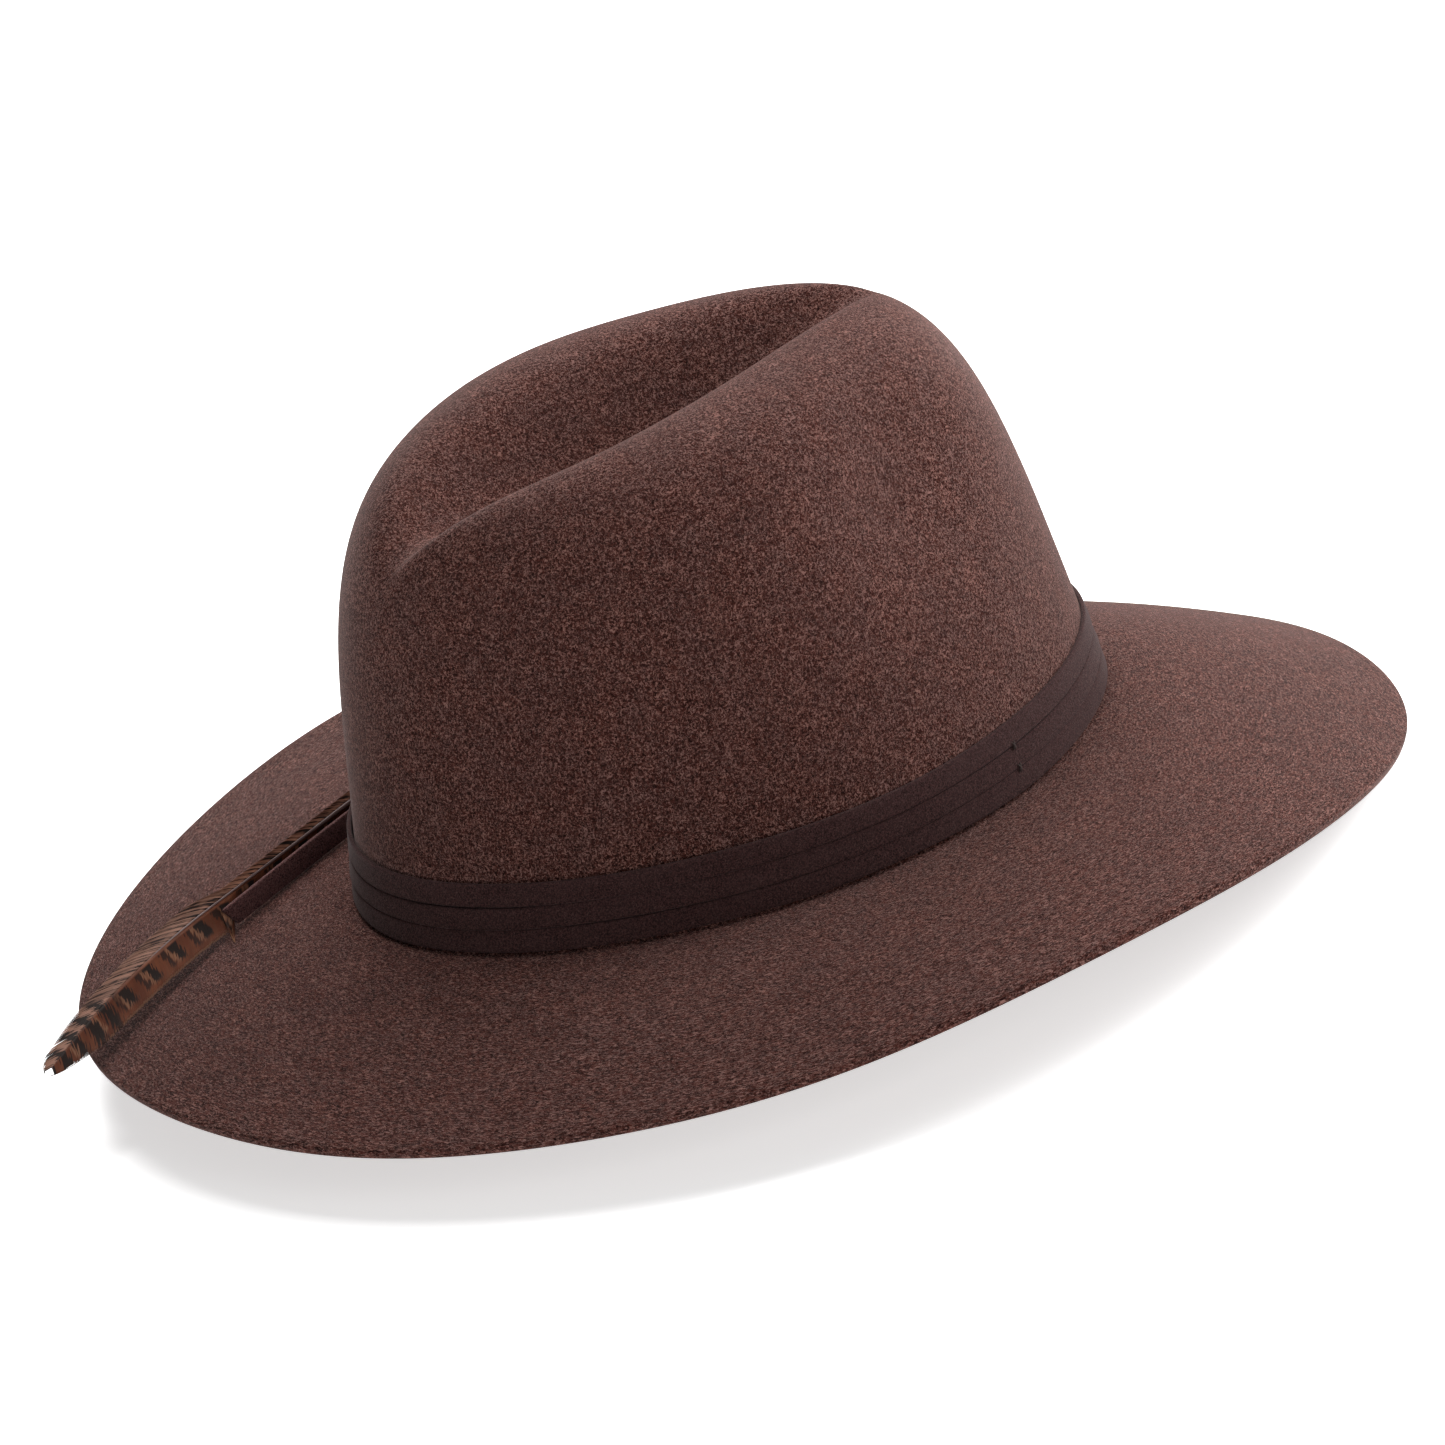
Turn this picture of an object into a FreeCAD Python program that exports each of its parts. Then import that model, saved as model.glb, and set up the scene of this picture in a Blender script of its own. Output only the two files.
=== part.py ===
import FreeCAD, Part
import math
import os

# Fedora hat.  Millimetres, +Z up as worn, the wearer's face towards -Y, the
# wearer's left towards +X.  The origin is the centre of the head opening, in the
# plane where the crown wall meets the brim.

doc = FreeCAD.newDocument("fedora")
sheet = doc.addObject("Spreadsheet::Sheet", "Sizes")

SIZES = [
    ("crown_half_length", 103.4),   # felt, outside, where crown meets brim
    ("crown_half_width", 83.1),
    ("crown_height", 113.6),        # before the crease is pressed in
    ("crown_squareness", 5.3),      # superellipse exponent of the crown's profile
    ("crown_taper", 0.155),         # share of the plan lost from base to top
    ("crown_taper_front", 0.06),    # more of it at the front, less at the rear
    ("crown_lean", 5.3),            # how far the top sits forward of the base
    ("felt_thickness", 2.6),
    ("brim_width", 75.0),
    ("break_radius", 1.6),          # corner between crown wall and brim
    ("dent_depth", 26.0),
    ("dent_half_width", 31.0),
    ("dent_centre", -22.0),         # widest place of the teardrop, front is plus
    ("dent_front_length", 96.0),
    ("dent_rear_length", 64.0),
    ("pinch_depth", 7.5),
    ("pinch_forward", 30.0),
    ("pinch_height", 86.0),
    ("pinch_reach", 25.0),
    ("strap_height", 5.65),
    ("strap_thickness", 1.2),
    ("strap_seam", 0.15),           # between one wrap and the next
    ("strap_bottom", 1.0),
    ("strap_gap", 0.3),             # between strap and felt
    ("tail_length", 94.0),
    ("tail_cut", 4.5),              # how far the tail's top edge runs past its lower one
    ("keeper_width", 9.0),
    ("keeper_leather", 1.1),
    ("feather_reach", 162.0),       # from the keeper to the feather's tip
    ("quill_radius", 1.1),
    ("slide_clearance", 0.4),
    ("sweatband_height", 34.0),
    ("sweatband_leather", 0.8),
    ("reed_radius", 0.9),
    ("lining_cloth", 0.35),
    ("thread_radius", 0.28),
]
for row, (alias, value) in enumerate(SIZES, start=1):
    sheet.set("A%d" % row, alias)
    sheet.set("B%d" % row, str(value))
    sheet.setAlias("B%d" % row, alias)
doc.recompute()
size = {alias: float(getattr(sheet, alias)) for alias, value in SIZES}

FELT = size["felt_thickness"]
LENGTH = size["crown_half_length"]
WIDTH = size["crown_half_width"]
HEIGHT = size["crown_height"]
BREAK = size["break_radius"]


# ---------------------------------------------------------------- hat's formula
# Every felt surface comes from one description: a plan oval, a profile up the
# crown, and the dent and pinches pressed into it.  "forward" is towards the face
# and "left" towards the wearer's left; at() turns them into the frame's X and Y.

def at(forward, left, height):
    return FreeCAD.Vector(left, -forward, height)


def smooth_step(value, start, end):
    share = min(max((value - start) / (end - start), 0.0), 1.0)
    return share * share * (3.0 - 2.0 * share)


def oval(angle, half_length, half_width, flat_corner, egg):
    """Plan oval: slightly pulled in at its four corners, narrower in front."""
    pulled = 1.0 - flat_corner * (1.0 - math.cos(4.0 * angle)) / 2.0
    forward = half_length * math.cos(angle) * pulled
    left = half_width * math.sin(angle) * pulled * (1.0 + egg * math.cos(angle))
    return forward, left


def crown_oval(angle, grow=0.0):
    return oval(angle, LENGTH + grow, WIDTH + grow, 0.024, -0.03)


def rim_oval(angle):
    return oval(angle, LENGTH + size["brim_width"], WIDTH + size["brim_width"], 0.018, -0.05)


def rim_height(angle):
    """Top edge of the brim: snapped down in front, flattest at the sides."""
    return (-17.0 - 6.9 * math.cos(angle) - 7.7 * math.cos(2.0 * angle)
            - 1.8 * math.cos(3.0 * angle) + 2.3 * math.cos(4.0 * angle))


def crown_point(angle, rise, spread):
    """Point on the crown.  rise is 0 at the base and 1 at the open crown's top;
    spread is the matching share of the base oval, before the taper."""
    taper = size["crown_taper"] + size["crown_taper_front"] * math.cos(angle)
    scale = spread * (1.0 - taper * rise)
    forward, left = crown_oval(angle)
    forward = forward * scale + size["crown_lean"] * rise ** 0.9
    left = left * scale
    height = HEIGHT * rise
    high = smooth_step(rise, 0.3, 1.0)
    height = height * (1.0 + 0.013 * forward / 100.0 * high)

    reach = size["dent_front_length"]
    if forward < size["dent_centre"]:
        reach = size["dent_rear_length"]
    along = (forward - size["dent_centre"]) / reach
    fullness = max(1.0 - along * along, 0.0)
    half = max(size["dent_half_width"] * fullness ** 0.7, 5.0)
    depth = size["dent_depth"] * fullness ** 1.1
    across = math.exp(-(abs(left) / (0.66 * half)) ** 2.6)
    height -= depth * across * smooth_step(rise, 0.5, 0.8)

    near_pinch = ((forward - size["pinch_forward"]) / size["pinch_reach"]) ** 2
    near_pinch += ((HEIGHT * rise - size["pinch_height"]) / size["pinch_reach"]) ** 2
    left -= size["pinch_depth"] * math.exp(-near_pinch) * math.tanh(left / 16.0)
    return forward, left, height


def brim_point(angle, share):
    """Point on the brim's top.  share is 0 at the crown and 1 at the rim."""
    inner = crown_oval(angle, BREAK)
    outer = rim_oval(angle)
    forward = inner[0] + (outer[0] - inner[0]) * share
    left = inner[1] + (outer[1] - inner[1]) * share
    return forward, left, rim_height(angle) * share ** 1.35


def break_point(angle, turn):
    """Point on the rounded corner between brim (turn 0) and wall (turn 1)."""
    swing = turn * math.pi / 2.0
    forward, left = crown_oval(angle, BREAK * (1.0 - math.sin(swing)))
    return forward, left, BREAK * (1.0 - math.cos(swing))


def stations():
    """The rows of the felt surface, from the rim in and up to the crease."""
    rows = [("brim", (1.0 - step / 13.0) ** 1.3) for step in range(13)]
    rows += [("break", 0.0), ("break", 0.33), ("break", 0.67)]
    exponent = size["crown_squareness"]
    base = BREAK / HEIGHT
    for step in range(17):
        rise = base + (0.72 - base) * (step / 16.0) ** 1.5
        rows.append(("crown", rise, (1.0 - rise ** exponent) ** (1.0 / exponent)))
    spread_top = (1.0 - 0.72 ** exponent) ** (1.0 / exponent)
    for step in range(1, 25):
        spread = spread_top + (0.05 - spread_top) * (step / 24.0) ** 1.15
        rise = (1.0 - spread ** exponent) ** (1.0 / exponent)
        rows.append(("crown", rise, spread))
    return rows


STATIONS = stations()
FLOOR_HEIGHT = crown_point(0.0, 1.0, 0.0)[2]


def outer_point(row, angle):
    kind = row[0]
    if kind == "brim":
        point = brim_point(angle, row[1])
    elif kind == "break":
        point = break_point(angle, row[1])
    else:
        point = crown_point(angle, row[1], row[2])
        flat = 1.0 - smooth_step(row[2], 0.05, 0.16)
        point = (point[0], point[1], point[2] + (FLOOR_HEIGHT - point[2]) * flat)
    return at(*point)


HALF_TURN = [math.pi * step / 36.0 for step in range(37)]


def outer_rows(first, last):
    """Grid of outer points over the left half, one list for each station."""
    return [[outer_point(row, angle) for angle in HALF_TURN] for row in STATIONS[first:last]]


def rows_at_depth(rows, depth):
    """The same grid moved into the felt, along the surface's inward normal."""
    moved = []
    for index, row in enumerate(rows):
        above = rows[min(index + 1, len(rows) - 1)]
        below = rows[max(index - 1, 0)]
        line = []
        for column, point in enumerate(row):
            up = above[column] - below[column]
            if column == 0:
                # the surface crosses the centre plane squarely at front and rear
                round_it = FreeCAD.Vector(1.0, 0.0, 0.0)
            elif column == len(row) - 1:
                round_it = FreeCAD.Vector(-1.0, 0.0, 0.0)
            else:
                round_it = row[column + 1] - row[column - 1]
            inward = up.cross(round_it)
            inward.normalize()
            line.append(point + inward * depth)
        moved.append(line)
    return moved


def surface(rows):
    patch = Part.BSplineSurface()
    patch.interpolate(rows)
    return patch


def curve(points):
    line = Part.BSplineCurve()
    line.interpolate(points)
    return line.toShape()


def mirrored(shape):
    return shape.mirror(FreeCAD.Vector(0, 0, 0), FreeCAD.Vector(1, 0, 0))


def closed_solid(faces):
    shell = Part.makeShell(faces)
    shell.sewShape()
    solid = Part.makeSolid(shell)
    if solid.Volume < 0:
        solid.reverse()
    return solid


def felt_shell(first, last, outer_depth, inner_depth, closed_top):
    """Closed solid between two depths of the felt surface, for some stations."""
    reach_back = max(first - 1, 0)
    grid = outer_rows(reach_back, last)
    trim = first - reach_back
    outer = rows_at_depth(grid, outer_depth)[trim:]
    inner = rows_at_depth(grid, inner_depth)[trim:]
    faces = []
    rings = []
    for rows, depth in ((outer, outer_depth), (inner, inner_depth)):
        if closed_top:
            # the last ring lies flat, so that a flat disc closes it
            rows[-1] = [FreeCAD.Vector(point.x, point.y, FLOOR_HEIGHT - depth) for point in rows[-1]]
        left_face = surface(rows).toShape()
        faces += [left_face, mirrored(left_face)]
        rings.append((left_face.Edges[0], left_face.Edges[2]))
    for end in (0, 1):
        outer_edge = rings[0][end]
        inner_edge = rings[1][end]
        if end == 1 and closed_top:
            for edge in (outer_edge, inner_edge):
                faces.append(Part.Face(Part.Wire([edge, mirrored(edge)])))
        else:
            ring = Part.makeRuledSurface(outer_edge, inner_edge)
            faces += [ring, mirrored(ring)]
    return closed_solid(faces)


# ---------------------------------------------------------------- rings on a wall

def wall_spot(angle, height, grow):
    """One point on the crown wall, moved straight out from it by grow."""
    rise = max(height, 0.0) / HEIGHT
    exponent = size["crown_squareness"]
    spread = (1.0 - rise ** exponent) ** (1.0 / exponent)

    def plan_spot(where):
        taper = size["crown_taper"] + size["crown_taper_front"] * math.cos(where)
        forward, left = crown_oval(where)
        scale = spread * (1.0 - taper * rise)
        return at(forward * scale + size["crown_lean"] * rise ** 0.9, left * scale, height)

    along = plan_spot(angle + 0.01) - plan_spot(angle - 0.01)
    outward = along.cross(FreeCAD.Vector(0, 0, 1)) * -1.0
    outward.normalize()
    here = plan_spot(angle)
    if outward.dot(FreeCAD.Vector(here.x, here.y, 0.0)) < 0:
        outward = outward * -1.0
    return here + outward * grow


def wall_curve(height, grow):
    """Closed curve round the crown wall at a height."""
    line = Part.BSplineCurve()
    turn = [2.0 * math.pi * step / 72.0 for step in range(72)]
    line.interpolate([wall_spot(angle, height, grow) for angle in turn], PeriodicFlag=True)
    return line.toShape()


def wall_ring(low, high, inner_grow, outer_grow):
    """Closed band on the crown wall, from one height to another."""
    corners = [wall_curve(low, inner_grow), wall_curve(low, outer_grow),
               wall_curve(high, outer_grow), wall_curve(high, inner_grow)]
    faces = []
    for index in range(4):
        faces.append(Part.makeRuledSurface(corners[index], corners[(index + 1) % 4]))
    return closed_solid(faces)


def strip_solid(sections):
    """Solid through sections of corners, each corner running as a smooth curve."""
    count = len(sections[0])
    edges = [curve([section[corner] for section in sections]) for corner in range(count)]
    faces = [Part.makeRuledSurface(edges[index], edges[(index + 1) % count])
             for index in range(count)]
    for section in (sections[0], sections[-1]):
        for corner in range(1, count - 1):
            fan = [section[0], section[corner], section[corner + 1], section[0]]
            faces.append(Part.Face(Part.makePolygon(fan)))
    return closed_solid(faces)


def add_piece(label, shape, placement=None):
    piece = doc.addObject("Part::Feature", label)
    piece.Label = label
    piece.Shape = shape
    piece.Placement = placement or FreeCAD.Placement()
    PIECES.append(piece)
    return piece


PIECES = []

# ---------------------------------------------------------------- felt body
# Crown and brim are blocked from one felt hood, so they are one solid.

add_piece("felt_body", felt_shell(0, len(STATIONS), 0.0, FELT, True))

# ---------------------------------------------------------------- band
# One narrow strap, wrapped three times round the crown.

pitch = size["strap_height"] + size["strap_seam"]
inside = size["strap_gap"]
outside = inside + size["strap_thickness"]
for turn, name in enumerate(("band_wrap_lower", "band_wrap_middle", "band_wrap_upper")):
    low = size["strap_bottom"] + turn * pitch
    add_piece(name, wall_ring(low, low + size["strap_height"], inside, outside))
band_top = size["strap_bottom"] + 3 * pitch

# The strap's free tail leaves the crown along a tangent, at the wearer's left
# and a little behind the middle, and runs back just above the brim.
TAIL_ANGLE = math.radians(107.5)
tangent_spot = wall_spot(TAIL_ANGLE, 4.0, outside)
ahead = wall_spot(TAIL_ANGLE + 0.01, 4.0, outside) - wall_spot(TAIL_ANGLE - 0.01, 4.0, outside)
ahead.z = 0.0
ahead.normalize()
OUTWARD = FreeCAD.Vector(-ahead.y, ahead.x, 0.0)
if OUTWARD.dot(tangent_spot) < 0:
    OUTWARD = OUTWARD * -1.0
UP = FreeCAD.Vector(0, 0, 1)


def beside_crown(distance, out, height):
    """Point on the tangent line: distance back along it, out from the band."""
    flat = tangent_spot + ahead * distance + OUTWARD * out
    return FreeCAD.Vector(flat.x, flat.y, height)


TAIL_GAP = 0.6          # from the band's face halfway up to the tail's lower edge
TAIL_START = -7.0       # the tail leaves the wraps a little before the tangent point
TAIL_END = TAIL_START + size["tail_length"]
TAIL_FOOT = 1.8         # height of its lower edge at the keeper
TAIL_SINK = 5.7         # how far that edge drops by the tail's end, with the brim
TAIL_LEAN = 9.0         # degrees its top edge tips out, halfway along


def tail_section(distance):
    """The strap stands on its edge and tips out between the keeper and its end,
    which is cut at a slant."""
    tipped = smooth_step(distance, 8.0, 40.0) - smooth_step(distance, 55.0, TAIL_END + 5.0)
    lean = math.radians(TAIL_LEAN * tipped)
    sink = TAIL_SINK * (max(distance, 0.0) / TAIL_END) ** 1.6
    foot = beside_crown(distance, TAIL_GAP, TAIL_FOOT - sink)
    side = OUTWARD * math.cos(lean) - UP * math.sin(lean)
    rise = UP * math.cos(lean) + OUTWARD * math.sin(lean)
    across = side * size["strap_thickness"]
    tall = rise * size["strap_height"]
    tall = tall + ahead * size["tail_cut"] * smooth_step(distance, 50.0, TAIL_END)
    return [foot, foot + across, foot + across + tall, foot + tall]


TAIL_STEPS = 12
tail_steps = [TAIL_START + size["tail_length"] * step / TAIL_STEPS for step in range(TAIL_STEPS + 1)]
add_piece("band_tail", strip_solid([tail_section(distance) for distance in tail_steps]))

# ---------------------------------------------------------------- feather
# A tail feather beside the strap's tail.  Its quill runs straight through the
# keeper, so it slides out backwards; past the tail the blade widens.
QUILL_HEIGHT = 9.4      # of the quill's middle line, at the keeper
QUILL_FALL = 0.085      # drop of the straight quill for each millimetre of run
QUILL_SPREAD = 0.03     # how fast it moves out from the tail
BEND_START = 90.0       # from here the feather curves in and down to its tip
BEND_IN = 8.0           # how far it has come in and down at the tip
BEND_DOWN = 4.5


def feather_spine(distance):
    out = TAIL_GAP + size["strap_thickness"] + size["slide_clearance"] + size["quill_radius"]
    bend = (max(distance - BEND_START, 0.0) / (size["feather_reach"] - BEND_START)) ** 2
    return beside_crown(distance, out + QUILL_SPREAD * distance - BEND_IN * bend,
                        QUILL_HEIGHT - QUILL_FALL * distance - BEND_DOWN * bend)


def feather_cross(distance):
    """Direction across the blade, from its lower edge to its upper edge."""
    tilt = math.radians(75.0 - 40.0 * smooth_step(distance, 70.0, 104.0))
    return OUTWARD * math.cos(tilt) + UP * math.sin(tilt)


def feather_run(distance):
    run = feather_spine(distance + 0.5) - feather_spine(distance - 0.5)
    run.normalize()
    return run


QUILL_THINNING = 50.0   # the run over which most of the quill's thickness goes
QUILL_TIP_SHARE = 0.18


def quill_radius(distance):
    """The quill thins quickly past the keeper, to a fifth of its width at the tip."""
    thick = math.exp(-(max(distance, 0.0) / QUILL_THINNING) ** 1.3)
    return size["quill_radius"] * (QUILL_TIP_SHARE + (1.0 - QUILL_TIP_SHARE) * thick)


QUILL_START = -7.0      # the quill's bare end, just ahead of the keeper
QUILL_SIDES = 12
QUILL_GROOVE = 0.78     # reach of the one corner that makes the groove


def quill_section(distance):
    """Rounded section with a groove along the side that faces the crown."""
    here = feather_spine(distance)
    run = feather_run(distance)
    flat = feather_cross(distance)
    out = run.cross(flat)
    out.normalize()
    corners = []
    for side in range(QUILL_SIDES):
        turn = 2.0 * math.pi * side / QUILL_SIDES - math.pi / 2.0
        reach = quill_radius(distance) * (QUILL_GROOVE if side == 0 else 1.0)
        corners.append(here + flat * (reach * math.cos(turn)) + out * (reach * math.sin(turn)))
    return corners


QUILL_STEPS = 14
quill_run = size["feather_reach"] - 2.0
quill_steps = [QUILL_START + quill_run * step / QUILL_STEPS for step in range(QUILL_STEPS + 1)]
add_piece("feather_quill", strip_solid([quill_section(step) for step in quill_steps]))


VANE_START = 14.0       # where the vanes begin, past the keeper
VANE_ROOT_GAP = 0.05    # from the quill's side to the vane
VANE_HALF_THICKNESS = 0.25


def blade_width(distance, beside_tail, full):
    """Outline of a vane: narrow beside the strap's tail, wide past it, then a
    rounded tip."""
    share = (distance - VANE_START) / (size["feather_reach"] - VANE_START)
    opening = math.sin(min(share / 0.12, 1.0) * math.pi / 2.0)
    closing = max(1.0 - max((share - 0.6) / 0.4, 0.0) ** 2.2, 0.0) ** 0.6
    width = beside_tail + (full - beside_tail) * smooth_step(distance, 82.0, 98.0)
    return 0.35 + (width - 0.35) * opening * closing


def vane_section(distance, side, width):
    root = quill_radius(distance) + VANE_ROOT_GAP
    here = feather_spine(distance)
    across = feather_cross(distance) * side
    face = feather_run(distance).cross(across)
    face.normalize()
    face = face * VANE_HALF_THICKNESS
    inner = here + across * root
    outer = here + across * (root + width)
    return [inner - face, outer - face, outer + face, inner + face]


# name, side of the quill, width beside the tail, width past it
VANES = [("feather_vane_upper", 1.0, 1.9, 3.8), ("feather_vane_lower", -1.0, 4.2, 7.6)]
VANE_STEPS = 24
vane_run = size["feather_reach"] - VANE_START
vane_steps = [VANE_START + vane_run * step / VANE_STEPS for step in range(VANE_STEPS + 1)]
for name, side, beside_tail, full in VANES:
    sections = [vane_section(step, side, blade_width(step, beside_tail, full)) for step in vane_steps]
    add_piece(name, strip_solid(sections))

# ---------------------------------------------------------------- keeper
# A short leather loop over the wraps, the tail and the quill.  It is open
# towards the crown, and its two ends are tacked to the felt.

keeper_depth = TAIL_GAP + size["strap_thickness"] + 2 * size["quill_radius"] + 2.5 * size["slide_clearance"]
KEEPER_REACH_IN = 1.3     # its top end reaches in over the wraps to the felt
KEEPER_FOOT = 0.1         # it stands this far above the brim's plane
KEEPER_RELIEF = 3.2       # its lower end stops this far short of the crown
keeper_tall = band_top + 2.0 - KEEPER_FOOT
leather_edge = size["keeper_leather"]
keeper_parts = {
    "keeper_block": (FreeCAD.Vector(0, 0, 0), keeper_depth + KEEPER_REACH_IN + leather_edge, keeper_tall),
    "keeper_passage": (FreeCAD.Vector(0, -1.0, leather_edge), keeper_depth + KEEPER_REACH_IN + 1.0,
                       keeper_tall - 2 * leather_edge),
    "keeper_relief": (FreeCAD.Vector(0, -1.0, -1.0), KEEPER_RELIEF, leather_edge + 2.0),
}
blocks = {}
for name, (corner, deep, tall) in keeper_parts.items():
    block = doc.addObject("Part::Box", name)
    block.setExpression("Length", "Sizes.keeper_width")
    block.Width = deep
    block.Height = tall
    block.Placement = FreeCAD.Placement(corner, FreeCAD.Rotation())
    blocks[name] = block
hollowed = doc.addObject("Part::Cut", "keeper_hollowed")
hollowed.Base = blocks["keeper_block"]
hollowed.Tool = blocks["keeper_passage"]
keeper = doc.addObject("Part::Cut", "band_keeper")
keeper.Base = hollowed
keeper.Tool = blocks["keeper_relief"]
keeper.Label = "band_keeper"
corner = beside_crown(size["keeper_width"] / 2.0, -KEEPER_REACH_IN, KEEPER_FOOT)
turned = math.degrees(math.atan2(-ahead.y, -ahead.x))
keeper.Placement = FreeCAD.Placement(corner, FreeCAD.Rotation(UP, turned))
PIECES.append(keeper)


# ---------------------------------------------------------------- inside
# Sweatband with its reed and tape, stitched round the head opening.

TAPE_LOW = 0.4            # the reed's tape, between these heights
TAPE_HIGH = 9.0
TAPE_THICKNESS = 0.3
depth_tape = -(FELT + 0.35)
depth_band = -(FELT + 1.1)
leather = size["sweatband_leather"]
reed_level = 1.0

reed_path = Part.Wire([wall_curve(reed_level, depth_band - size["reed_radius"])])
reed_start = reed_path.Edges[0]
reed_ring = Part.Circle(reed_start.valueAt(reed_start.FirstParameter),
                        reed_start.tangentAt(reed_start.FirstParameter), size["reed_radius"])
reed = reed_path.makePipeShell([Part.Wire([reed_ring.toShape()])], True, False)
add_piece("sweatband_reed", reed)
add_piece("reed_tape", wall_ring(TAPE_LOW, TAPE_HIGH, depth_tape - TAPE_THICKNESS, depth_tape))
add_piece("sweatband", wall_ring(reed_level + size["reed_radius"] + 0.15, size["sweatband_height"],
                                 depth_band - leather, depth_band))


def thread_between(start, end):
    """A stitch: a short round bar from one hole to the next."""
    along = end - start
    return Part.makeCylinder(size["thread_radius"], along.Length, start, along)


def stitch_ring(height, grow, count, share):
    """Evenly spaced stitches round the wall; share is how much of a pitch shows."""
    stitches = []
    for index in range(count):
        start = wall_spot(2.0 * math.pi * index / count, height, grow)
        end = wall_spot(2.0 * math.pi * (index + share) / count, height, grow)
        stitches.append(thread_between(start, end))
    return Part.makeCompound(stitches)


STITCH_LEVEL = 4.6
STITCH_COUNT = 120
STITCH_SHOWS = 0.62       # the rest of each pitch is inside the leather
stitch_depth = depth_band - leather - size["thread_radius"] - 0.1
add_piece("sweatband_stitches", stitch_ring(STITCH_LEVEL, stitch_depth, STITCH_COUNT, STITCH_SHOWS))


def wall_patch(angles, low, high, inner_grow, outer_grow):
    """A piece of the wall's curve, such as a label, between two angles."""
    sections = []
    for angle in angles:
        sections.append([wall_spot(angle, low, inner_grow), wall_spot(angle, low, outer_grow),
                         wall_spot(angle, high, outer_grow), wall_spot(angle, high, inner_grow)])
    return strip_solid(sections)


# The sweatband's ends meet at the rear under a narrow tape, with a small bow.
rear = math.pi
face_of_band = depth_band - leather - 0.1
REAR_TAPE_THICKNESS = 0.35
rear_angles = [rear + offset for offset in (-0.04, -0.013, 0.013, 0.04)]
add_piece("sweatband_rear_tape",
          wall_patch(rear_angles, 8.0, size["sweatband_height"] - 0.5,
                     face_of_band - REAR_TAPE_THICKNESS, face_of_band))


BOW_HALF_LENGTH = 4.2
BOW_HALF_HEIGHT = 1.7
BOW_RIBBON = 0.6          # thickness of the ribbon
BOW_DEPTH = 0.9           # its width, which runs into the hat
BOW_TILT = 12.0
KNOT_RADIUS = 1.1


def bow_loop(middle, side):
    """One loop of the bow: an upright oval ring that tips up at its outer end."""
    centre = FreeCAD.Vector(0, 0, 0)
    depth = FreeCAD.Vector(0, 0, BOW_DEPTH)
    ring = Part.Ellipse(centre, BOW_HALF_LENGTH, BOW_HALF_HEIGHT).toShape()
    hole = Part.Ellipse(centre, BOW_HALF_LENGTH - BOW_RIBBON, BOW_HALF_HEIGHT - BOW_RIBBON).toShape()
    loop = Part.Face(Part.Wire([ring])).extrude(depth)
    loop = loop.cut(Part.Face(Part.Wire([hole])).extrude(depth))
    upright = FreeCAD.Rotation(FreeCAD.Vector(1, 0, 0), 90.0)
    tipped = FreeCAD.Rotation(FreeCAD.Vector(0, 0, 1), side * BOW_TILT)
    loop.Placement = FreeCAD.Placement(middle, upright.multiply(tipped))
    return loop


def bow():
    """Two flat loops and a knot, tied where the sweatband's ends meet."""
    centre = wall_spot(rear, 6.2, face_of_band - 1.2)
    out = BOW_HALF_LENGTH + KNOT_RADIUS + 0.1
    loops = [bow_loop(centre + FreeCAD.Vector(side * out, 0.0, BOW_DEPTH), side) for side in (-1.0, 1.0)]
    return Part.makeCompound([Part.makeSphere(KNOT_RADIUS, centre)] + loops)


add_piece("sweatband_bow", bow())

# Satin lining: a side wall that starts behind the sweatband, and a top piece.
cloth = size["lining_cloth"]
depth_cloth = FELT + 0.3
first_side = next(index for index, row in enumerate(STATIONS)
                  if row[0] == "crown" and row[1] * HEIGHT > 20.0)
first_top = next(index for index, row in enumerate(STATIONS)
                 if row[0] == "crown" and row[2] < 0.86)
add_piece("lining_side", felt_shell(first_side, first_top, depth_cloth, depth_cloth + cloth, False))
add_piece("lining_top", felt_shell(first_top, len(STATIONS), depth_cloth, depth_cloth + cloth, True))

# A blank size label, sewn above the sweatband at the rear left.
LABEL_LOW = 35.0
LABEL_HIGH = 47.0
LABEL_THICKNESS = 0.3
label_face = -(FELT + 1.15)
label_angles = [math.radians(150.0 + 3.0 * step) for step in range(5)]
add_piece("size_label", wall_patch(label_angles, LABEL_LOW, LABEL_HIGH,
                                   label_face - LABEL_THICKNESS, label_face))

# ---------------------------------------------------------------- tack stitches

TACK_ANGLES = [math.radians(angle) for angle in (-70.0, 70.0)]
TACK_HALF = 1.2         # half of a tack's length
TACK_REST = 0.05        # a tack lies this far off the leather


def tacks():
    """Tacks across the two seams of the band, one pair on each side of the head."""
    stitches = []
    for angle in TACK_ANGLES:
        for seam in (1, 2):
            level = size["strap_bottom"] + seam * pitch
            out = outside + size["thread_radius"] + TACK_REST
            low = wall_spot(angle, level - TACK_HALF, out)
            high = wall_spot(angle, level + TACK_HALF, out)
            stitches.append(thread_between(low, high))
    return Part.makeCompound(stitches)


add_piece("band_tacks", tacks())


def keeper_tacks():
    """Tacks that hold the keeper's top and bottom ends down."""
    out = keeper_depth + size["keeper_leather"] + size["thread_radius"] + TACK_REST
    stitches = []
    for distance in (-2.6, 2.6):
        for level in (2.2, band_top - 2.4):
            low = beside_crown(distance, out, level)
            high = beside_crown(distance, out, level + 2 * TACK_HALF)
            stitches.append(thread_between(low, high))
    return Part.makeCompound(stitches)


add_piece("keeper_tacks", keeper_tacks())

# ---------------------------------------------------------------- check and write

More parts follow.
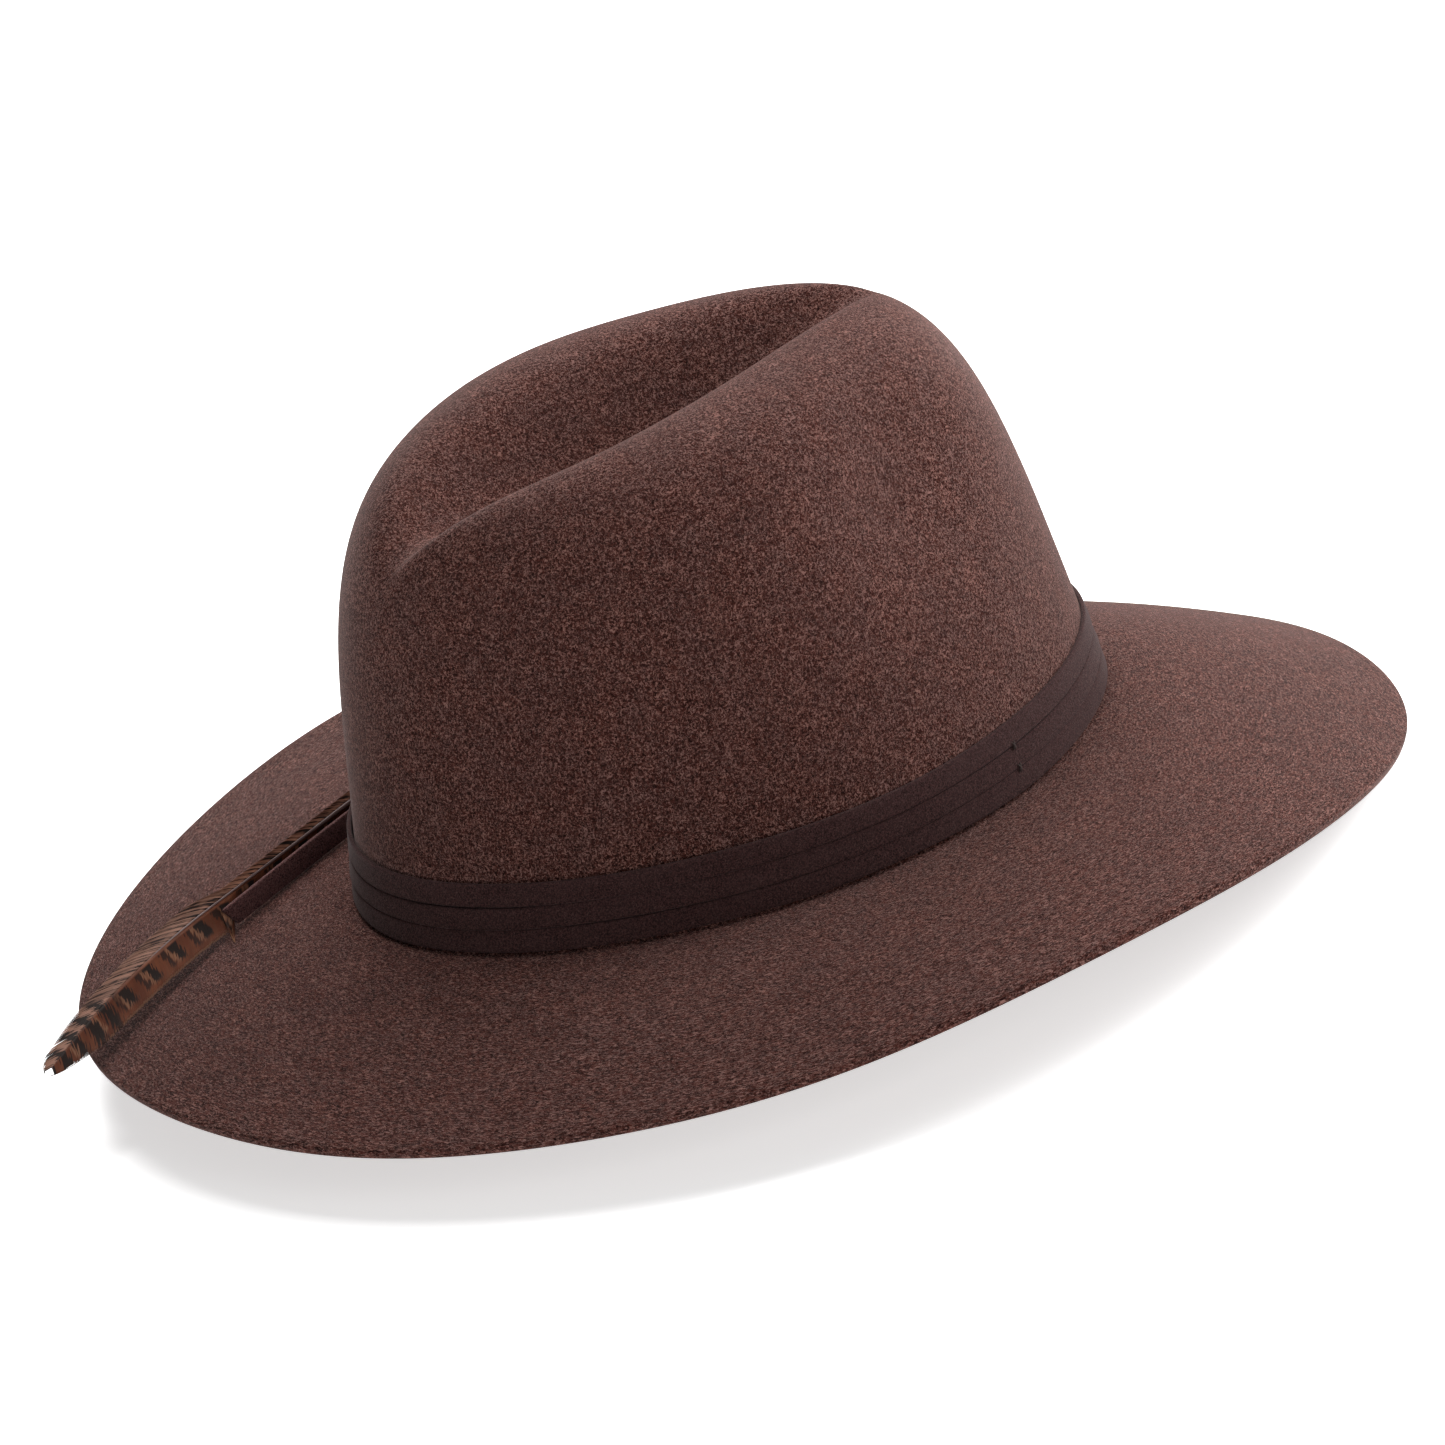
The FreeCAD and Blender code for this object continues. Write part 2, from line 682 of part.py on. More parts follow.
doc.recompute()
for item in doc.Objects:
    if "Invalid" in item.State or "Error" in item.State:
        raise RuntimeError("%s did not recompute: %s" % (item.Name, item.State))
os.makedirs("parts", exist_ok=True)
for piece in PIECES:
    shape = piece.Shape
    if shape.isNull() or not shape.isValid():
        raise RuntimeError("%s has no valid shape" % piece.Label)
    shape.exportStep("parts/%s.step" % piece.Label)
    print("%-22s solids %3d  volume %10.1f mm3" % (piece.Label, len(shape.Solids), shape.Volume))
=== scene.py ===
import math
import random

import bmesh
import bpy
import numpy as np
from mathutils import Matrix, Vector, noise


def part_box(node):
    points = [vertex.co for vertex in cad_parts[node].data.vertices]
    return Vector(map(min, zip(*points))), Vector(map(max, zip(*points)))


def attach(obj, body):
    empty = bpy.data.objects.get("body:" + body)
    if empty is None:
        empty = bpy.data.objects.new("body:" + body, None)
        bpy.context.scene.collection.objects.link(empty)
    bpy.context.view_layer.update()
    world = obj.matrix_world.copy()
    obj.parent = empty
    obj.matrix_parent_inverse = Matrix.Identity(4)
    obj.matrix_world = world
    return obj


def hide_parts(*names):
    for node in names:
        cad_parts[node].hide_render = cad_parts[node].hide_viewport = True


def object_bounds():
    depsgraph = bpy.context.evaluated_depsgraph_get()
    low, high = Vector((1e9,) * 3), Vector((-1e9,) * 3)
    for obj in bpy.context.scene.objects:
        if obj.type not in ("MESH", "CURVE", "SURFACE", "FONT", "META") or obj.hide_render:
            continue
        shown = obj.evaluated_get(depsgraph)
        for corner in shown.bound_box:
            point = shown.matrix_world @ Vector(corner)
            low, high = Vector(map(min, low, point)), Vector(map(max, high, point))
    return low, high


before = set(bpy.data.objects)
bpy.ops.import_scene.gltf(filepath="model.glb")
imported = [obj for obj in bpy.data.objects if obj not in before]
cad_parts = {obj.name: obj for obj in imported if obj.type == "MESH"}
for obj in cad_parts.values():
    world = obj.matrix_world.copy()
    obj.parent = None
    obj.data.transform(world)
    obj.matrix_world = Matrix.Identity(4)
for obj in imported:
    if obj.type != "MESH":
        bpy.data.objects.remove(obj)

CAD_BOX = [list(corner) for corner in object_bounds()]
MM = 0.001

# ---------------- sizes
# The same sizes, in millimetres, that the felt and its trim have in the frame.

CROWN_HALF_LENGTH = 103.4
CROWN_HALF_WIDTH = 83.1
CROWN_HEIGHT = 113.6
SQUARENESS = 5.3             # superellipse exponent of the crown's profile
TAPER = 0.155                # share of the plan lost from base to top
TAPER_FRONT = 0.06           # more of it in front, less at the rear
LEAN = 5.3                   # how far the top sits forward of the base
FELT = 2.6
BRIM_WIDTH = 75.0
BREAK = 1.6                  # radius of the corner between wall and brim
SHOULDER = 0.72              # share of the height where the rows turn in to the top
DENT_DEPTH = 26.0
DENT_HALF_WIDTH = 31.0
DENT_CENTRE = -22.0          # the dent's widest place; forward is plus
DENT_FRONT = 96.0
DENT_REAR = 64.0
PINCH_DEPTH = 7.5
PINCH_FORWARD = 30.0
PINCH_HEIGHT = 86.0
PINCH_REACH = 25.0
STRAP_HEIGHT = 5.65
STRAP_THICKNESS = 1.2
STRAP_SEAM = 0.15            # between one wrap and the next
STRAP_PITCH = STRAP_HEIGHT + STRAP_SEAM
STRAP_BOTTOM = 1.0
STRAP_GAP = 0.3              # between strap and felt
TAIL_ANGLE = math.radians(107.5)
TAIL_GAP = 0.6
TAIL_START = -7.0
TAIL_END = 87.0
TAIL_FOOT = 1.8              # height of the tail's lower edge at the keeper
TAIL_SINK = 5.7              # how far that edge drops by the tail's end
TAIL_LEAN = 9.0              # degrees its top edge tips out, halfway along
TAIL_CUT = 4.5               # how far its top edge runs past its lower one
KEEPER_WIDTH = 9.0
QUILL_RADIUS = 1.1
QUILL_HEIGHT = 9.4           # of the quill's middle line, at the keeper
QUILL_START = -7.0
QUILL_FALL = 0.085           # drop per millimetre of its length
QUILL_SPREAD = 0.03          # distance it gains from the crown, likewise
SLIDE_GAP = 0.4
FEATHER_REACH = 162.0        # from the keeper to the feather's tip
BEND_START = 90.0            # from here the feather curves in and down
BEND_IN = 8.0
BEND_DOWN = 4.5
VANE_START = 14.0
BLADE_TIP = FEATHER_REACH + 1.5
BARB_PITCH = 0.34
TUFT_PLACE = 84.0            # where barbs split off, at the strap's end
SWEATBAND_TOP = 34.0
SWEATBAND_FREE = 8.0         # above this it stands off the felt
REED_DEPTH = FELT + 2.0      # of the reed's middle line, inside the felt's face
REED_RADIUS = 0.9
REED_LEVEL = 1.0
TAPE_LOW = 0.4
TAPE_HIGH = 9.0
STITCH_COUNT = 120
STITCH_LEVEL = 4.6


# ---------------- hat's formula

def unit(vectors):
    return vectors / np.linalg.norm(vectors, axis=-1, keepdims=True)


def smooth_step(value, start, end):
    share = np.clip((np.asarray(value, float) - start) / (end - start), 0.0, 1.0)
    return share * share * (3.0 - 2.0 * share)


def place(forward, left, height):
    """Millimetres forward, left and up, as points of the row frame in metres."""
    forward, left, height = np.broadcast_arrays(forward, left, height)
    return np.stack([left, -forward, height], axis=-1) * MM


def oval(angle, half_length, half_width, flat_corner, egg):
    """Plan oval: slightly pulled in at its four corners, narrower in front."""
    pulled = 1.0 - flat_corner * (1.0 - np.cos(4.0 * angle)) / 2.0
    forward = half_length * np.cos(angle) * pulled
    left = half_width * np.sin(angle) * pulled * (1.0 + egg * np.cos(angle))
    return forward, left


def crown_oval(angle, grow=0.0):
    return oval(angle, CROWN_HALF_LENGTH + grow, CROWN_HALF_WIDTH + grow, 0.024, -0.03)


def crown_point(angle, rise, spread):
    """Point on the crown.  rise is 0 at the base and 1 at the open crown's top;
    spread is the matching share of the base oval, before the taper."""
    scale = spread * (1.0 - (TAPER + TAPER_FRONT * np.cos(angle)) * rise)
    forward, left = crown_oval(angle)
    forward = forward * scale + LEAN * rise ** 0.9
    left = left * scale
    height = CROWN_HEIGHT * rise
    height = height * (1.0 + 0.013 * forward / 100.0 * smooth_step(rise, 0.3, 1.0))
    reach = np.where(forward < DENT_CENTRE, DENT_REAR, DENT_FRONT)
    fullness = np.clip(1.0 - ((forward - DENT_CENTRE) / reach) ** 2, 0.0, 1.0)
    half = np.maximum(DENT_HALF_WIDTH * fullness ** 0.7, 5.0)
    across = np.exp(-(np.abs(left) / (0.66 * half)) ** 2.6)
    height = height - DENT_DEPTH * fullness ** 1.1 * across * smooth_step(rise, 0.5, 0.8)
    near = ((forward - PINCH_FORWARD) / PINCH_REACH) ** 2
    near = near + ((CROWN_HEIGHT * rise - PINCH_HEIGHT) / PINCH_REACH) ** 2
    left = left - PINCH_DEPTH * np.exp(-near) * np.tanh(left / 16.0)
    return forward, left, height


def brim_point(angle, share):
    """Point on the brim's top.  share is 0 at the crown and 1 at the rim."""
    inner = crown_oval(angle, BREAK)
    outer = oval(angle, CROWN_HALF_LENGTH + BRIM_WIDTH, CROWN_HALF_WIDTH + BRIM_WIDTH, 0.018, -0.05)
    drop = (-17.0 - 6.9 * np.cos(angle) - 7.7 * np.cos(2.0 * angle)
            - 1.8 * np.cos(3.0 * angle) + 2.3 * np.cos(4.0 * angle))
    # a real brim is never quite even
    drop = drop + 0.5 * np.sin(5.0 * angle + 0.7) + 0.35 * np.sin(8.0 * angle + 2.0)
    forward = inner[0] + (outer[0] - inner[0]) * share
    left = inner[1] + (outer[1] - inner[1]) * share
    return forward, left, drop * share ** 1.35


def break_point(angle, turn):
    """Point on the rounded corner between brim (turn 0) and wall (turn 1)."""
    swing = turn * math.pi / 2.0
    forward, left = crown_oval(angle, BREAK * (1.0 - math.sin(swing)))
    return forward, left, BREAK * (1.0 - math.cos(swing))


COLUMNS = 320
AROUND = np.arange(COLUMNS) * 2.0 * math.pi / COLUMNS
BRIM_ROWS = 44
BREAK_TURNS = (0.0, 0.3, 0.6, 0.85)
WALL_ROW = BRIM_ROWS + len(BREAK_TURNS)      # the first row of the crown


def profile(share):
    """The other coordinate of the crown's profile: rise from spread, or back."""
    return (1.0 - share ** SQUARENESS) ** (1.0 / SQUARENESS)


def felt_rows():
    """Outer felt surface as rows of points, from the rim in and up to the crease."""
    rows = [place(*brim_point(AROUND, (1.0 - step / BRIM_ROWS) ** 1.15)) for step in range(BRIM_ROWS)]
    rows += [place(*break_point(AROUND, turn)) for turn in BREAK_TURNS]
    base = BREAK / CROWN_HEIGHT
    for step in range(50):
        rise = base + (SHOULDER - base) * (step / 49.0) ** 1.25
        rows.append(place(*crown_point(AROUND, rise, profile(rise))))
    spread_top = profile(SHOULDER)
    for step in range(1, 90):
        spread = spread_top + (0.01 - spread_top) * (step / 89.0) ** 1.1
        rows.append(place(*crown_point(AROUND, profile(spread), spread)))
    return np.array(rows)


def inward_normals(rows):
    """Unit normals of a grid of points, into the hat."""
    up = np.gradient(rows, axis=0)
    wrapped = np.concatenate([rows[:, -1:], rows, rows[:, :1]], axis=1)
    around = wrapped[:, 2:] - wrapped[:, :-2]
    return unit(np.cross(up, around))


def wall_spots(angle, height, grow):
    """Points on the crown wall, moved straight out from it by grow."""
    angle, height, grow = [np.asarray(value, float) for value in np.broadcast_arrays(angle, height, grow)]
    rise = np.maximum(height, 0.0) / CROWN_HEIGHT
    spread = profile(rise)

    def spot(where):
        forward, left = crown_oval(where)
        scale = spread * (1.0 - (TAPER + TAPER_FRONT * np.cos(where)) * rise)
        return place(forward * scale + LEAN * rise ** 0.9, left * scale, height)

    along = spot(angle + 0.01) - spot(angle - 0.01)
    outward = unit(np.stack([-along[..., 1], along[..., 0], 0.0 * along[..., 0]], axis=-1))
    here = spot(angle)
    facing = np.sign((outward * here).sum(axis=-1, keepdims=True))
    return here + outward * facing * grow[..., None] * MM


# ---------------- mesh building

def new_piece(name, shape, nodes, material, body="hat"):
    """A visible piece, from a (points, faces) pair, that rides on a body and
    stands in for CAD nodes."""
    points, faces = shape
    mesh = bpy.data.meshes.new(name)
    mesh.from_pydata([tuple(point) for point in points], [], faces)
    mesh.validate()
    mesh.update()
    piece = bpy.data.objects.new(name, mesh)
    bpy.context.collection.objects.link(piece)
    mesh.shade_smooth()
    mesh.materials.append(material)
    outward_faces(mesh)
    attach(piece, body)
    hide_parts(*nodes)
    return piece


def outward_faces(mesh):
    """Turns every face outwards, so that closed meshes shade and export cleanly."""
    work = bmesh.new()
    work.from_mesh(mesh)
    bmesh.ops.recalc_face_normals(work, faces=work.faces)
    work.to_mesh(mesh)
    work.free()


def loop_faces(row_count, column_count, closed_rows):
    """Quads of a grid whose columns close on themselves; rows may close too."""
    faces = []
    last = row_count if closed_rows else row_count - 1
    for row in range(last):
        below = row * column_count
        above = ((row + 1) % row_count) * column_count
        for column in range(column_count):
            after = (column + 1) % column_count
            faces.append((below + column, below + after, above + after, above + column))
    return faces


def capped_tube(rings):
    """Closed mesh through rings of points, with a domed fan at each end."""
    rings = np.asarray(rings)
    count, sides = rings.shape[:2]
    points = rings.reshape(-1, 3)
    faces = loop_faces(count, sides, False)
    ends = np.stack([rings[0].mean(axis=0), rings[-1].mean(axis=0)])
    points = np.concatenate([points, ends])
    for column in range(sides):
        after = (column + 1) % sides
        faces.append((after, column, count * sides))
        base = (count - 1) * sides
        faces.append((base + column, base + after, count * sides + 1))
    return points, faces


def joined(parts):
    """Several (points, faces) pairs as one."""
    points = []
    faces = []
    start = 0
    for part_points, part_faces in parts:
        points.append(np.asarray(part_points))
        faces += [tuple(index + start for index in face) for face in part_faces]
        start += len(part_points)
    return np.concatenate(points), faces


def rounded_box(width, height, radius, steps=4):
    """Outline of a rectangle with rounded corners, centred, as (across, up) pairs."""
    outline = []
    corners = [(1, 1, 0), (-1, 1, 90), (-1, -1, 180), (1, -1, 270)]
    for side_x, side_y, start in corners:
        for step in range(steps + 1):
            turn = math.radians(start + 90.0 * step / steps)
            outline.append((side_x * (width / 2 - radius) + radius * math.cos(turn),
                            side_y * (height / 2 - radius) + radius * math.sin(turn)))
    return np.array(outline)


def end_rounding(step, last, depth):
    """Scale of a section near either end of a strip, so that its end is rounded."""
    edge = min(step, last - step)
    return 1.0 - depth * max(0.0, 1.0 - edge / 2.0) ** 2


# ---------------- materials

class Shader:
    """A material under construction: short names for the nodes it is made of."""

    def __init__(self, name, space="Object"):
        self.material = bpy.data.materials.new(name)
        self.material.use_nodes = True
        self.tree = self.material.node_tree
        self.bsdf = self.tree.nodes["Principled BSDF"]
        source = self.node("TexCoord", {}).outputs[space]
        # millimetres: object space is scaled to them, and the UV maps hold them
        self.place = self.moved((1000.0 if space == "Object" else 1.0,) * 3, where=source)

    def link(self, source, target):
        self.tree.links.new(source, target)

    def value(self, target, number):
        if hasattr(number, "is_linked"):
            self.link(number, target)
        else:
            target.default_value = number

    def node(self, kind, values):
        """A new node, with numbers or other nodes' outputs in its inputs."""
        node = self.tree.nodes.new("ShaderNode" + kind)
        for name, number in values.items():
            self.value(node.inputs[name], number)
        return node

    def moved(self, scale, offset=(0, 0, 0), turn=(0, 0, 0), where=None):
        values = {"Vector": where or self.place, "Scale": scale, "Location": offset, "Rotation": turn}
        return self.node("Mapping", values).outputs["Vector"]

    def noise(self, scale, detail=2.0, where=None, roughness=0.5, distortion=0.0):
        values = {"Vector": where or self.place, "Scale": scale, "Detail": detail,
                  "Roughness": roughness, "Distortion": distortion}
        return self.node("TexNoise", values).outputs["Fac"]

    def wave(self, scale, direction, where=None, distortion=0.0):
        values = {"Vector": where or self.place, "Scale": scale, "Distortion": distortion, "Detail": 1.0}
        node = self.node("TexWave", values)
        node.bands_direction = direction
        return node.outputs["Fac"]

    def split(self, vector):
        return self.node("SeparateXYZ", {"Vector": vector}).outputs

    def math(self, operation, first, second=0.0):
        node = self.node("Math", {0: first, 1: second})
        node.operation = operation
        return node.outputs[0]

    def times(self, first, second):
        return self.math("MULTIPLY", first, second)

    def ramp(self, source, low, high, out_low=0.0, out_high=1.0):
        node = self.node("MapRange", {"Value": source, "From Min": low, "From Max": high,
                                      "To Min": out_low, "To Max": out_high})
        node.interpolation_type = "SMOOTHSTEP"
        return node.outputs["Result"]

    def mix(self, share, first, second):
        node = self.tree.nodes.new("ShaderNodeMix")
        node.data_type = "RGBA"
        self.value(node.inputs[0], share)
        for socket, colour in ((node.inputs[6], first), (node.inputs[7], second)):
            self.value(socket, colour + (1.0,) if isinstance(colour, tuple) else colour)
        return node.outputs[2]

    def colour(self, share, first, second):
        """Base colour: the first where share is 0, the second where it is 1."""
        self.link(self.mix(share, first, second), self.bsdf.inputs["Base Color"])

    def bump(self, heights, strength, distance):
        node = self.node("Bump", {"Height": heights, "Strength": strength, "Distance": distance * MM})
        self.link(node.outputs["Normal"], self.bsdf.inputs["Normal"])

    def finished(self, roughness, specular, sheen=0.0, sheen_roughness=0.5, sheen_tint=(1, 1, 1)):
        """Sets what is left of the surface and gives the finished material."""
        for name, number in (("Roughness", roughness), ("Specular IOR Level", specular),
                             ("Sheen Weight", sheen), ("Sheen Roughness", sheen_roughness),
                             ("Sheen Tint", sheen_tint + (1.0,))):
            self.value(self.bsdf.inputs[name], number)
        return self.material


def fibres(shader, where, scale, width, gaps, offset):
    """Short curly hairs: thin level lines of a warped noise field, broken up."""
    field = shader.noise(scale, 0.0, shader.moved((1, 1, 1), offset, where=where), distortion=1.4)
    line = shader.math("ABSOLUTE", shader.math("SUBTRACT", field, 0.5))
    line = shader.ramp(line, 0.0, width, 1.0, 0.0)
    spread = shader.moved((1, 1, 1), offset[::-1], where=where)
    broken = shader.ramp(shader.noise(scale * 1.5, 0.0, spread), gaps, gaps + 0.09)
    return shader.times(line, broken)


def felt_material():
    shader = Shader("wool_felt")
    left, rear, height = shader.split(shader.place)
    # on the brim the hairs are brushed round the hat, on the crown they lie anyhow
    angle = shader.math("ABSOLUTE", shader.math("ARCTAN2", left, shader.times(rear, -1.0)))
    radius = shader.math("SQRT", shader.math("ADD", shader.times(left, left), shader.times(rear, rear)))
    round_hat = {"X": shader.times(angle, 58.0), "Y": radius, "Z": height}
    brushed = shader.node("CombineXYZ", round_hat).outputs["Vector"]
    anyhow = [fibres(shader, shader.moved(stretch), scale, 0.070, 0.49, offset)
              for stretch, scale, offset in (((1.0, 0.55, 1.0), 1.12, (3.0, 7.0, 1.0)),
                                             ((0.55, 1.0, 0.8), 1.36, (31.0, 5.0, 17.0)),
                                             ((1.0, 1.0, 0.55), 1.24, (9.0, 43.0, 28.0)))]
    along = [fibres(shader, brushed, scale, 0.072, gaps, offset)
             for scale, gaps, offset in ((1.22, 0.48, (13.0, 2.0, 8.0)), (1.55, 0.50, (5.0, 61.0, 3.0)))]
    on_brim = shader.ramp(height, 1.0, 5.0, 1.0, 0.25)
    hairs = shader.math("MAXIMUM", shader.math("MAXIMUM", anyhow[0], anyhow[1]), anyhow[2])
    hairs = shader.times(hairs, shader.math("SUBTRACT", 1.35, on_brim))
    swept = shader.times(shader.math("MAXIMUM", along[0], along[1]), on_brim)
    hairs = shader.math("MINIMUM", shader.math("MAXIMUM", hairs, swept), 1.0)
    grit = shader.noise(1.7, 2.0, roughness=0.75)
    grit_brim = shader.noise(1.5, 2.0, brushed, 0.7)
    grit = shader.mix(on_brim, grit, grit_brim)
    mottle = shader.ramp(shader.noise(0.10, 3.0, roughness=0.65), 0.36, 0.64)
    clump = shader.ramp(shader.noise(0.36, 2.0, roughness=0.6), 0.36, 0.66)
    ground = shader.mix(shader.ramp(grit, 0.42, 0.61), (0.0045, 0.0009, 0.0007), (0.052, 0.0155, 0.0115))
    ground = shader.mix(shader.times(clump, 0.25), ground, (0.030, 0.007, 0.0050))
    ground = shader.mix(shader.times(mottle, 0.20), ground, (0.026, 0.011, 0.0095))
    light = shader.mix(mottle, (0.262, 0.130, 0.108), (0.225, 0.120, 0.104))
    shader.colour(shader.times(hairs, 0.85), ground, light)
    heights = shader.math("ADD", shader.times(hairs, 0.8), grit)
    shader.bump(heights, 0.55, 0.20)
    return shader.finished(0.95, 0.03, 0.16, 0.35, (1.0, 0.80, 0.76))


def suede_material(name, lift):
    """Brushed suede; lift is how much paler than the band's it is. Above 1 this is painted light: the
    band's own suede, brightened for a piece that lies in shade.
    """
    shader = Shader(name)

    # the band's colours times lift: painted light wherever lift is above 1
    def tone(*band_colour):
        return tuple(part * lift for part in band_colour)

    hairs = shader.math("MAXIMUM",
                        fibres(shader, shader.place, 1.5, 0.07, 0.48, (2.0, 8.0, 21.0)),
                        fibres(shader, shader.place, 1.9, 0.07, 0.50, (17.0, 4.0, 9.0)))
    nap = shader.noise(2.4, 2.0, roughness=0.75)
    cloud = shader.ramp(shader.noise(0.16, 3.0), 0.36, 0.66)
    ground = shader.mix(shader.ramp(nap, 0.36, 0.66), tone(0.0085, 0.0034, 0.0036),
                        tone(0.050, 0.0215, 0.0205))
    ground = shader.mix(shader.times(cloud, 0.30), ground, tone(0.034, 0.017, 0.0165))
    shader.colour(shader.times(hairs, 0.45), ground, tone(0.105, 0.062, 0.058))
    shader.bump(shader.math("ADD", nap, hairs), 0.4, 0.10)
    return shader.finished(0.95, 0.08, 0.08, 0.4, (1.0, 0.86, 0.84))


def thread_material():
    shader = Shader("sewing_thread")
    ply = shader.wave(1.9, "DIAGONAL", shader.moved((1, 1, 1), turn=(0.5, 0.6, 0.7)))
    shader.colour(ply, (0.010, 0.006, 0.005), (0.045, 0.024, 0.020))
    shader.bump(ply, 0.5, 0.1)
    return shader.finished(0.7, 0.3)


def leather_material():
    shader = Shader("sweatband_leather")
    cells = shader.node("TexVoronoi", {"Vector": shader.place, "Scale": 1.5})
    cells.feature = "DISTANCE_TO_EDGE"
    grain = shader.ramp(cells.outputs["Distance"], 0.0, 0.18)
    wear = shader.ramp(shader.noise(0.12, 3.0), 0.35, 0.7)
    tone = shader.mix(wear, (0.120, 0.056, 0.032), (0.175, 0.090, 0.054))
    shader.colour(shader.times(grain, 0.8), (0.060, 0.028, 0.017), tone)
    shader.bump(grain, 0.35, 0.1)
    return shader.finished(shader.ramp(wear, 0.0, 1.0, 0.38, 0.55), 0.45)


def grosgrain_material():
    shader = Shader("grosgrain_tape")
    ribs = shader.wave(1.1, "Z")
    shader.colour(ribs, (0.020, 0.010, 0.008), (0.075, 0.040, 0.032))
    shader.bump(ribs, 0.6, 0.15)
    return shader.finished(0.75, 0.3, 0.1)


def satin_material():
    shader = Shader("lining_satin")
    threads = shader.wave(2.6, "Z", distortion=0.4)
    slub = shader.noise(0.5, 3.0, shader.moved((0.25, 0.25, 3.0)))
    tone = shader.mix(slub, (0.070, 0.036, 0.028), (0.125, 0.072, 0.056))
    shader.colour(shader.times(threads, 0.35), tone, (0.160, 0.100, 0.080))
    shader.bump(threads, 0.2, 0.05)
    shader.bsdf.inputs["Anisotropic"].default_value = 0.5
    return shader.finished(0.34, 0.55, 0.15)


def reed_material():
    shader = Shader("reed_plastic")
    haze = shader.noise(0.8, 2.0)
    shader.colour(haze, (0.50, 0.46, 0.38), (0.66, 0.62, 0.54))
    return shader.finished(shader.ramp(haze, 0.3, 0.7, 0.22, 0.38), 0.5)


def label_material():
    shader = Shader("label_weave")
    weave = shader.times(shader.wave(2.4, "X"), shader.wave(2.4, "Z"))
    shader.colour(weave, (0.50, 0.46, 0.40), (0.72, 0.68, 0.60))
    shader.bump(weave, 0.4, 0.08)
    return shader.finished(0.6, 0.35, 0.1)


def quill_material():
    shader = Shader("quill_keratin", "UV")
    streak = shader.noise(1.0, 3.0, shader.moved((0.2, 3.0, 1.0)))
    shader.colour(streak, (0.085, 0.050, 0.046), (0.225, 0.150, 0.140))
    shader.bump(streak, 0.15, 0.05)
    return shader.finished(0.42, 0.45)


def bar(shader, cycle, middle, half, soft):
    """1 inside a bar of a repeating pattern, fading to 0 over its soft edge."""
    away = shader.math("ABSOLUTE", shader.math("SUBTRACT", cycle, middle))
    return shader.ramp(away, half, half + soft, 1.0, 0.0)


def vane_material(name, sweep, wide):
    """Barred vane.  The first UV map runs along the quill to a barb's root and
    out along the barb, in millimetres; the second is the share of the barb's
    length and a number that differs from barb to barb."""
    shader = Shader(name, "UV")
    root, reach = shader.split(shader.place)[:2]
    own = shader.node("UVMap", {})
    own.uv_map = "Barb"
    share, luck = shader.split(own.outputs["UV"])[:2]
    ragged = shader.times(shader.math("SUBTRACT", luck, 0.5), 1.7)
    drift = shader.noise(0.16, 2.0, shader.moved((1.0, 0.6, 1.0)))

    rust = shader.mix(shader.ramp(drift, 0.35, 0.65), (0.084, 0.020, 0.0075), (0.142, 0.041, 0.017))
    buff = (0.270, 0.138, 0.080)
    dark = (0.0120, 0.0055, 0.0040)
    fine = shader.noise(1.0, 1.0, shader.moved((3.4, 0.35, 1.0)))
    if wide:
        # bars in pairs that slant back towards the quill's root
        slanted = shader.math("ADD", root, shader.times(reach, sweep * 0.8 + 0.10))
        slanted = shader.math("ADD", slanted, ragged)
        cycle = shader.math("FLOORED_MODULO", slanted, 10.5)
        bars = shader.math("MAXIMUM", bar(shader, cycle, 3.0, 1.35, 0.5),
                           shader.times(bar(shader, cycle, 7.0, 0.7, 0.5), 0.85))
        ends = shader.math("ADD", share, shader.times(ragged, 0.06))
        inside = shader.times(shader.ramp(share, 0.06, 0.14), shader.ramp(ends, 0.66, 0.82, 1.0, 0.0))
        bars = shader.times(bars, inside)
        between = shader.times(bar(shader, cycle, 5.0, 0.5, 0.7), inside)
        ground = shader.mix(shader.times(between, 0.5), rust, buff)
        ground = shader.mix(shader.ramp(fine, 0.44, 0.62, 0.0, 0.5), ground, (0.085, 0.030, 0.014))
        ground = shader.mix(shader.ramp(share, 0.90, 0.97, 0.0, 0.85), ground, buff)
    else:
        # narrow stripes that follow the barbs
        cycle = shader.math("FLOORED_MODULO",
                            shader.math("ADD", root, shader.times(ragged, 0.9)), 2.6)
        bars = bar(shader, cycle, 1.3, 0.46, 0.40)
        broken = shader.ramp(shader.noise(0.45, 1.0, shader.moved((1.0, 1.6, 1.0), (5, 9, 2))), 0.38, 0.56)
        bars = shader.times(bars, shader.math("ADD", shader.times(broken, 0.5), 0.5))
        pale = shader.mix(shader.ramp(root, 70.0, 95.0), (0.360, 0.165, 0.105), (0.300, 0.155, 0.108))
        ground = shader.mix(shader.ramp(fine, 0.40, 0.60, 0.0, 0.5), pale, (0.085, 0.030, 0.017))
        ground = shader.mix(shader.ramp(share, 0.90, 0.98, 0.0, 0.6), ground, (0.340, 0.200, 0.150))
    # near the tip the bars cross both vanes
    tip = shader.ramp(root, 128.0, 134.0)
    crossing = shader.math("ADD", root, shader.times(reach, sweep * 0.75))
    crossing = shader.math("FLOORED_MODULO",
                           shader.math("ADD", crossing, shader.times(ragged, 1.5)), 6.4)
    tip_bars = bar(shader, crossing, 2.4, 1.5, 0.5)
    bars = shader.math("ADD", shader.times(bars, shader.math("SUBTRACT", 1.0, tip)),
                       shader.times(tip_bars, tip))
    shader.colour(bars, ground, dark)
    shader.bump(fine, 0.25, 0.06)
    return shader.finished(0.7, 0.15, 0.05, 0.4, (1.0, 0.8, 0.7))


# ---------------- felt body

